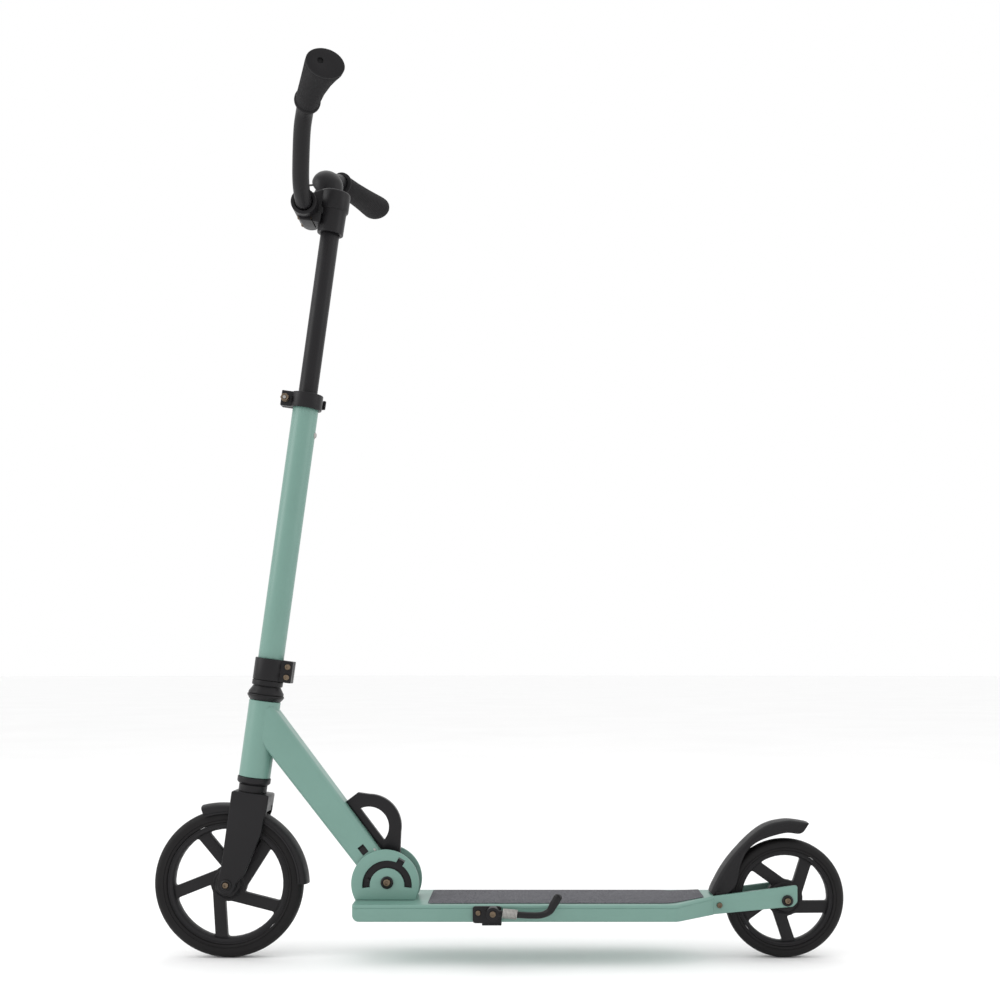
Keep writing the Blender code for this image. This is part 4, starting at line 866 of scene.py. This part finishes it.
# ---- deck ----
def make_deck():
    front, rear, half, bottom = -0.191, 0.2855, 0.060, 0.058
    nose, groove_drop, groove = 0.009, 0.0046, 0.0005
    tail_rise, tail_lift, tail_half = 0.0058, 0.0030, 0.0262
    corner, edge = 0.0030, 0.0026
    slope = tail_rise / (rear - DECK_BEND)
    turn = [(1.0, 0.0), (0.62, 0.08), (0.29, 0.29), (0.08, 0.62), (0.0, 1.0)]
    nose_x = [front + nose * (1 - math.cos(math.radians(a))) for a in range(0, 91, 10)]
    stations = sorted(set(nose_x + [front + 0.0004, front + 0.0022, 0.0, DECK_BEND - 0.004,
                                    DECK_BEND, DECK_BEND + 0.006, 0.262, rear]))
    sections = []
    for x in stations:
        ahead = max(0.0, front + nose - x)
        low = bottom + nose - math.sqrt(max(0.0, nose ** 2 - ahead ** 2))
        low += tail_lift * max(0.0, x - DECK_BEND - 0.006) / (rear - DECK_BEND - 0.006)
        top = DECK_TOP + max(0.0, x - DECK_BEND) * slope
        shy = max(0.0, front + corner - x)
        width = half - corner + math.sqrt(corner ** 2 - min(shy, corner) ** 2)
        width -= max(0.0, x - DECK_BEND) * (half - tail_half) / (rear - DECK_BEND)
        side = [(width - edge * inset, low + edge * rise) for inset, rise in turn]
        side += [(width, top - groove_drop - groove), (width - groove, top - groove_drop),
                 (width, top - groove_drop + groove)]
        side += [(width - edge * inset, top - edge * rise) for inset, rise in reversed(turn)]
        loop = side + [(-y, z) for y, z in reversed(side)]
        sections.append([(x, y, z) for y, z in loop])
    well = block((PIVOT.x - 0.034, -0.021, DECK_TOP - 0.013), (PIVOT.x + 0.034, 0.021, 0.12),
                 0.001)
    look("deck", with_cuts(lofted(sections), [well]), 35.0)

    base, thick = DECK_TOP + 0.0003, 0.0010
    tape_front, tape_rear, tape_half, corner = -0.0925, 0.272, 0.0505, 0.006
    taper_start, taper = 0.221, 0.026 / 0.061
    marks = [tape_front + corner * (1 - math.cos(math.radians(a))) for a in range(0, 91, 15)]
    marks += [0.0, 0.10, 0.20, taper_start, DECK_BEND, 0.245, 0.258, tape_rear - 0.002, tape_rear]
    sections = []
    for x in marks:
        lift = max(0.0, x - DECK_BEND) * slope
        shy = min(corner, max(0.0, tape_front + corner - x))
        width = tape_half - corner + math.sqrt(corner ** 2 - shy ** 2)
        width -= max(0.0, x - taper_start) * taper
        side = [(width, base + lift), (width, base + lift + thick - 0.0003),
                (width - 0.0005, base + lift + thick)]
        loop = side + [(-y, z) for y, z in reversed(side)]
        sections.append([(x, y, z) for y, z in loop])
    look("griptape", lofted(sections))


make_deck()


def make_rear_arms():
    front, end = 0.2720, 0.3975
    outline = rounded([(front, 0.0618), (0.2858, 0.0618), (end - 0.006, 0.0720),
                       (end, 0.0778), (end, 0.0985), (end - 0.002, 0.1003), (0.2858, 0.0858),
                       (front, 0.0840)], 0.0024, 6, sharp=(0, 1, 6, 7))
    axle = arc(REAR_AXLE, AXLE_HOLE, 360.0, 15.0, 24)
    pin = arc((BRAKE_PIVOT.x, BRAKE_PIVOT.z), PIN_HOLE, 360.0, 15.0, 24)
    for label, low, high in (("left", -0.026, -0.0205), ("right", 0.0205, 0.026)):
        look(f"rear_arm_{label}", side_plate([outline, axle, pin], low, high, 0.0012))
    origin = BRAKE_PIVOT + Vector((0, -0.0263, 0))
    look("brake_bolt", screw(facing(origin, (0, -1, 0)), 0.0025, 0.0563, 0.0038, 0.0024, 36))


make_rear_arms()


def resampled(path, count):
    """count points at equal steps along a 2-D path."""
    path = [Vector(p) for p in path]
    lengths = [0.0]
    for a, b in zip(path, path[1:]):
        lengths.append(lengths[-1] + (b - a).length)
    points = []
    for i in range(count):
        want = lengths[-1] * i / (count - 1)
        k = max(j for j in range(len(path) - 1) if lengths[j] <= want + 1e-12)
        span = lengths[k + 1] - lengths[k]
        points.append(path[k].lerp(path[k + 1], min(1.0, (want - lengths[k]) / span)))
    return points


def make_rear_fender():
    """A moulded channel with rounded shoulders, a rolled lower edge and a raised side line."""
    crest = smooth_path([(0.2830, 0.0885), (0.2863, 0.0975), (0.2997, 0.1220),
                         (0.3168, 0.1442), (0.3416, 0.1687), (0.3614, 0.1809),
                         (0.3839, 0.1859), (0.4010, 0.1850), (0.4150, 0.1822)], 6)
    hem = smooth_path([(0.3003, 0.0760), (0.3020, 0.0840), (0.3170, 0.0993),
                       (0.3230, 0.1257), (0.3330, 0.1457), (0.3500, 0.1590),
                       (0.3824, 0.1688), (0.4040, 0.1682), (0.4146, 0.1808)], 6)
    count = 56
    half, wall = 0.0175, 0.0025
    top, low = resampled(crest, count), resampled(hem, count)
    sections = []
    for i in range(count):
        down = low[i] - top[i]
        depth = down.length
        down = down.normalized()
        shoulder = min(0.0055, depth * 0.45)
        line = min(depth * 0.42, shoulder + 0.006)
        right = [(0.0, 0.0), (0.0060, 0.0002), (half - shoulder, 0.0007)]
        right += [(half - shoulder * (1 - math.sin(a)), 0.0007 + shoulder * (1 - math.cos(a)))
                  for a in [math.radians(18.0 * k) for k in range(1, 5)]]
        proud = half - 0.0006
        right += [(half, shoulder), (half, max(shoulder, line - 0.0010)),
                  (proud, max(shoulder, line)), (proud, max(shoulder, depth - 0.0030)),
                  (half, max(shoulder, depth - 0.0022)), (half, depth - 0.0005),
                  (half - 0.0006, depth), (half - wall + 0.0003, depth)]
        inside = [(half - wall, max(0.0, depth - 0.0006)), (half - wall, min(shoulder, depth)),
                  (half - wall - shoulder * 0.35, min(wall + 0.0016, depth)),
                  (half - shoulder - wall * 0.4, min(wall + 0.0006, depth)),
                  (0.0, min(wall, depth))]
        loop = [(y, d) for y, d in right] + inside
        loop += [(-y, d) for y, d in reversed(inside[:-1])]
        loop += [(-y, d) for y, d in reversed(right[1:])]
        sections.append([(top[i].x + down.x * d, y, top[i].y + down.y * d) for y, d in loop])
    channel = lofted(sections)
    x, z = BRAKE_PIVOT.x, BRAKE_PIVOT.z
    ear_outline = arc((x, z), 0.0068, 0.0, -180.0, 24) + [(0.2866, 0.0900), (0.3050, 0.0900)]
    pin = arc((x, z), PIN_HOLE, 360.0, 15.0, 24)
    ears = [side_plate([ear_outline[::-1], pin], low_y, low_y + wall, 0.0006)
            for low_y in (-half, half - wall)]
    pad = arc(REAR_AXLE, 0.0858, 120.0, 101.0, 14)
    pad += [(0.3645, 0.1795), (0.3520, 0.1728), (0.3416, 0.1660)]
    brake_block = side_plate([rounded(pad, 0.0008, 2)[::-1]], -0.0125, 0.0125, 0.0006)
    look("rear_fender", merged(channel, brake_block, *ears), 40.0)

    start, span = Vector((x, -0.0085, z)), Vector((0.0, 0.0170, 0.0))
    look("brake_spring", coil(start, span, Vector((1, 0, 0)), Vector((0, 0, 1)), 0.0046, 5), 60.0)


make_rear_fender()


# ---- kickstand ----
def make_kickstand():
    face = -0.0603
    fixing, pivot = (-0.0258, 0.071), (-0.0063, 0.072)
    outline = [(-0.0330, 0.0575), (0.0045, 0.0575), (0.0045, 0.0795), (-0.0330, 0.0795)]
    screw_hole = arc(fixing, PIN_HOLE, 360.0, 15.0, 24)
    pivot_hole = arc(pivot, 0.0033, 360.0, 15.0, 24)
    plate = side_plate([rounded(outline, 0.004, 5), screw_hole, pivot_hole], face - 0.0042, face,
                       0.0007)
    lip = block((-0.0210, face - 0.0040, 0.0545), (0.0045, -0.0420, 0.0577), 0.0012)
    look("kickstand_bracket", merged(plate, lip))
    outer = face - 0.0042
    place = facing((fixing[0], outer - 0.0003, fixing[1]), (0, -1, 0))
    look("kickstand_screw", screw(place, 0.0025, -0.0520 - outer, 0.0034, 0.0022, 36))
    hub_high = outer - 0.0003
    hub_outer = outer - 0.0003 - 0.0142
    place = facing((pivot[0], hub_outer - 0.0003, pivot[1]), (0, -1, 0))
    look("kickstand_pivot_bolt", screw(place, 0.0030, -0.0520 - hub_outer, 0.0040, 0.0024, 36))
    hub = sleeve(0.0033, 0.0085, -hub_high, -hub_outer, 0.0009, 4,
                 at(pivot[0], 0, pivot[1]) @ ACROSS.inverted(), 56)
    middle = (hub_high + hub_outer) / 2
    knots = [(-0.0040, middle, 0.0725), (0.0200, middle, 0.0705), (0.0520, middle - 0.001, 0.0695),
             (0.0660, middle - 0.003, 0.0745), (0.0720, middle - 0.005, 0.0840),
             (0.0770, middle - 0.006, 0.0927), (0.0775, middle - 0.006, 0.0935)]
    route = smooth_path(knots, 8)
    radii = [0.0042 + 0.0014 * max(0.0, min(1.0, (i - 20) / 14)) for i in range(len(route))]
    for back, radius in enumerate((0.0040, 0.0050, 0.0055)):
        radii[-1 - back] = radius
    shank = swept(route, radii, sides=28)
    look("kickstand_leg", merged(hub, shank), 50.0)

    start, span = Vector((0.0060, middle, 0.0719)), Vector((0.0190, 0.0, -0.0016))
    across = Vector((0.0, 1.0, 0.0))
    above = across.cross(span.normalized())
    look("kickstand_spring", coil(start, span, across, above, 0.0058, 11), 60.0)


make_kickstand()


# ---- CAD nodes that stay ----
for name, node in frame["nodes"].items():
    node.data.materials.clear()
    node.data.materials.append(MATERIALS[SLOT_OF[name]])

# ---- stage, light and camera ----
def make_stage():
    """A wide pale floor disc, of rings that grow outwards."""
    sides = 48
    radii = [0.4 * 1.6 ** k for k in range(11)]
    turns = [math.tau * i / sides for i in range(sides)]
    work = bmesh.new()
    middle = work.verts.new((0.0, 0.0, 0.0))
    circles = [[work.verts.new((radius * math.cos(turn), radius * math.sin(turn), 0.0))
                for turn in turns] for radius in radii]
    for i in range(sides):
        j = (i + 1) % sides
        work.faces.new((middle, circles[0][i], circles[0][j]))
        for first, second in zip(circles, circles[1:]):
            work.faces.new((first[i], second[i], second[j], first[j]))
    mesh = bpy.data.meshes.new("floor")
    work.to_mesh(mesh)
    work.free()
    floor = bpy.data.objects.new("floor", mesh)
    bpy.context.scene.collection.objects.link(floor)
    mesh.materials.append(surface("pale_studio_floor", (0.95, 0.95, 0.95), (0.98, 0.98, 0.98),
                                  (0.75, 0.85), 1.5, 60.0, 0.0002, specular=0.2))


make_stage()


def area_light(name, origin, target, size, energy):
    data = bpy.data.lights.new(name, "AREA")
    data.shape = "RECTANGLE"
    data.size, data.size_y = size
    data.energy = energy
    light = bpy.data.objects.new(name, data)
    bpy.context.scene.collection.objects.link(light)
    light.location = origin
    aim = Vector(target) - Vector(origin)
    light.rotation_mode = "QUATERNION"
    light.rotation_quaternion = aim.to_track_quat("-Z", "Y")


area_light("left_softbox", (-2.4, -0.8, 1.5), (-0.1, 0.0, 0.5), (1.4, 2.0), 20.0)
area_light("right_softbox", (2.5, -0.5, 1.3), (0.1, 0.0, 0.4), (1.2, 2.0), 8.0)
area_light("top_softbox", (0.1, 0.3, 3.0), (0.0, 0.1, 0.0), (3.2, 2.6), 14.0)

world = bpy.data.worlds.new("studio")
world.use_nodes = True
sky = world.node_tree.nodes["Background"]
sky.inputs["Color"].default_value = (1.0, 1.0, 1.0, 1.0)
sky.inputs["Strength"].default_value = 1.0
bpy.context.scene.world = world
bpy.context.scene.view_settings.view_transform = "Standard"

# The camera is fitted to the photograph; the shifts stand for its crop.
CAMERA_PLACE = (0.0476, -1.7786, 0.3947)
CAMERA_TILT_UP = 0.40  # degrees above level
lens = bpy.data.cameras.new("camera")
lens.sensor_width = 36.0
lens.lens = 47.37
lens.shift_x = -0.0346
lens.shift_y = 0.155
camera = bpy.data.objects.new("camera", lens)
camera.location = CAMERA_PLACE
camera.rotation_euler = (math.radians(90.0 + CAMERA_TILT_UP), 0.0, 0.0)
bpy.context.scene.collection.objects.link(camera)
bpy.context.scene.camera = camera
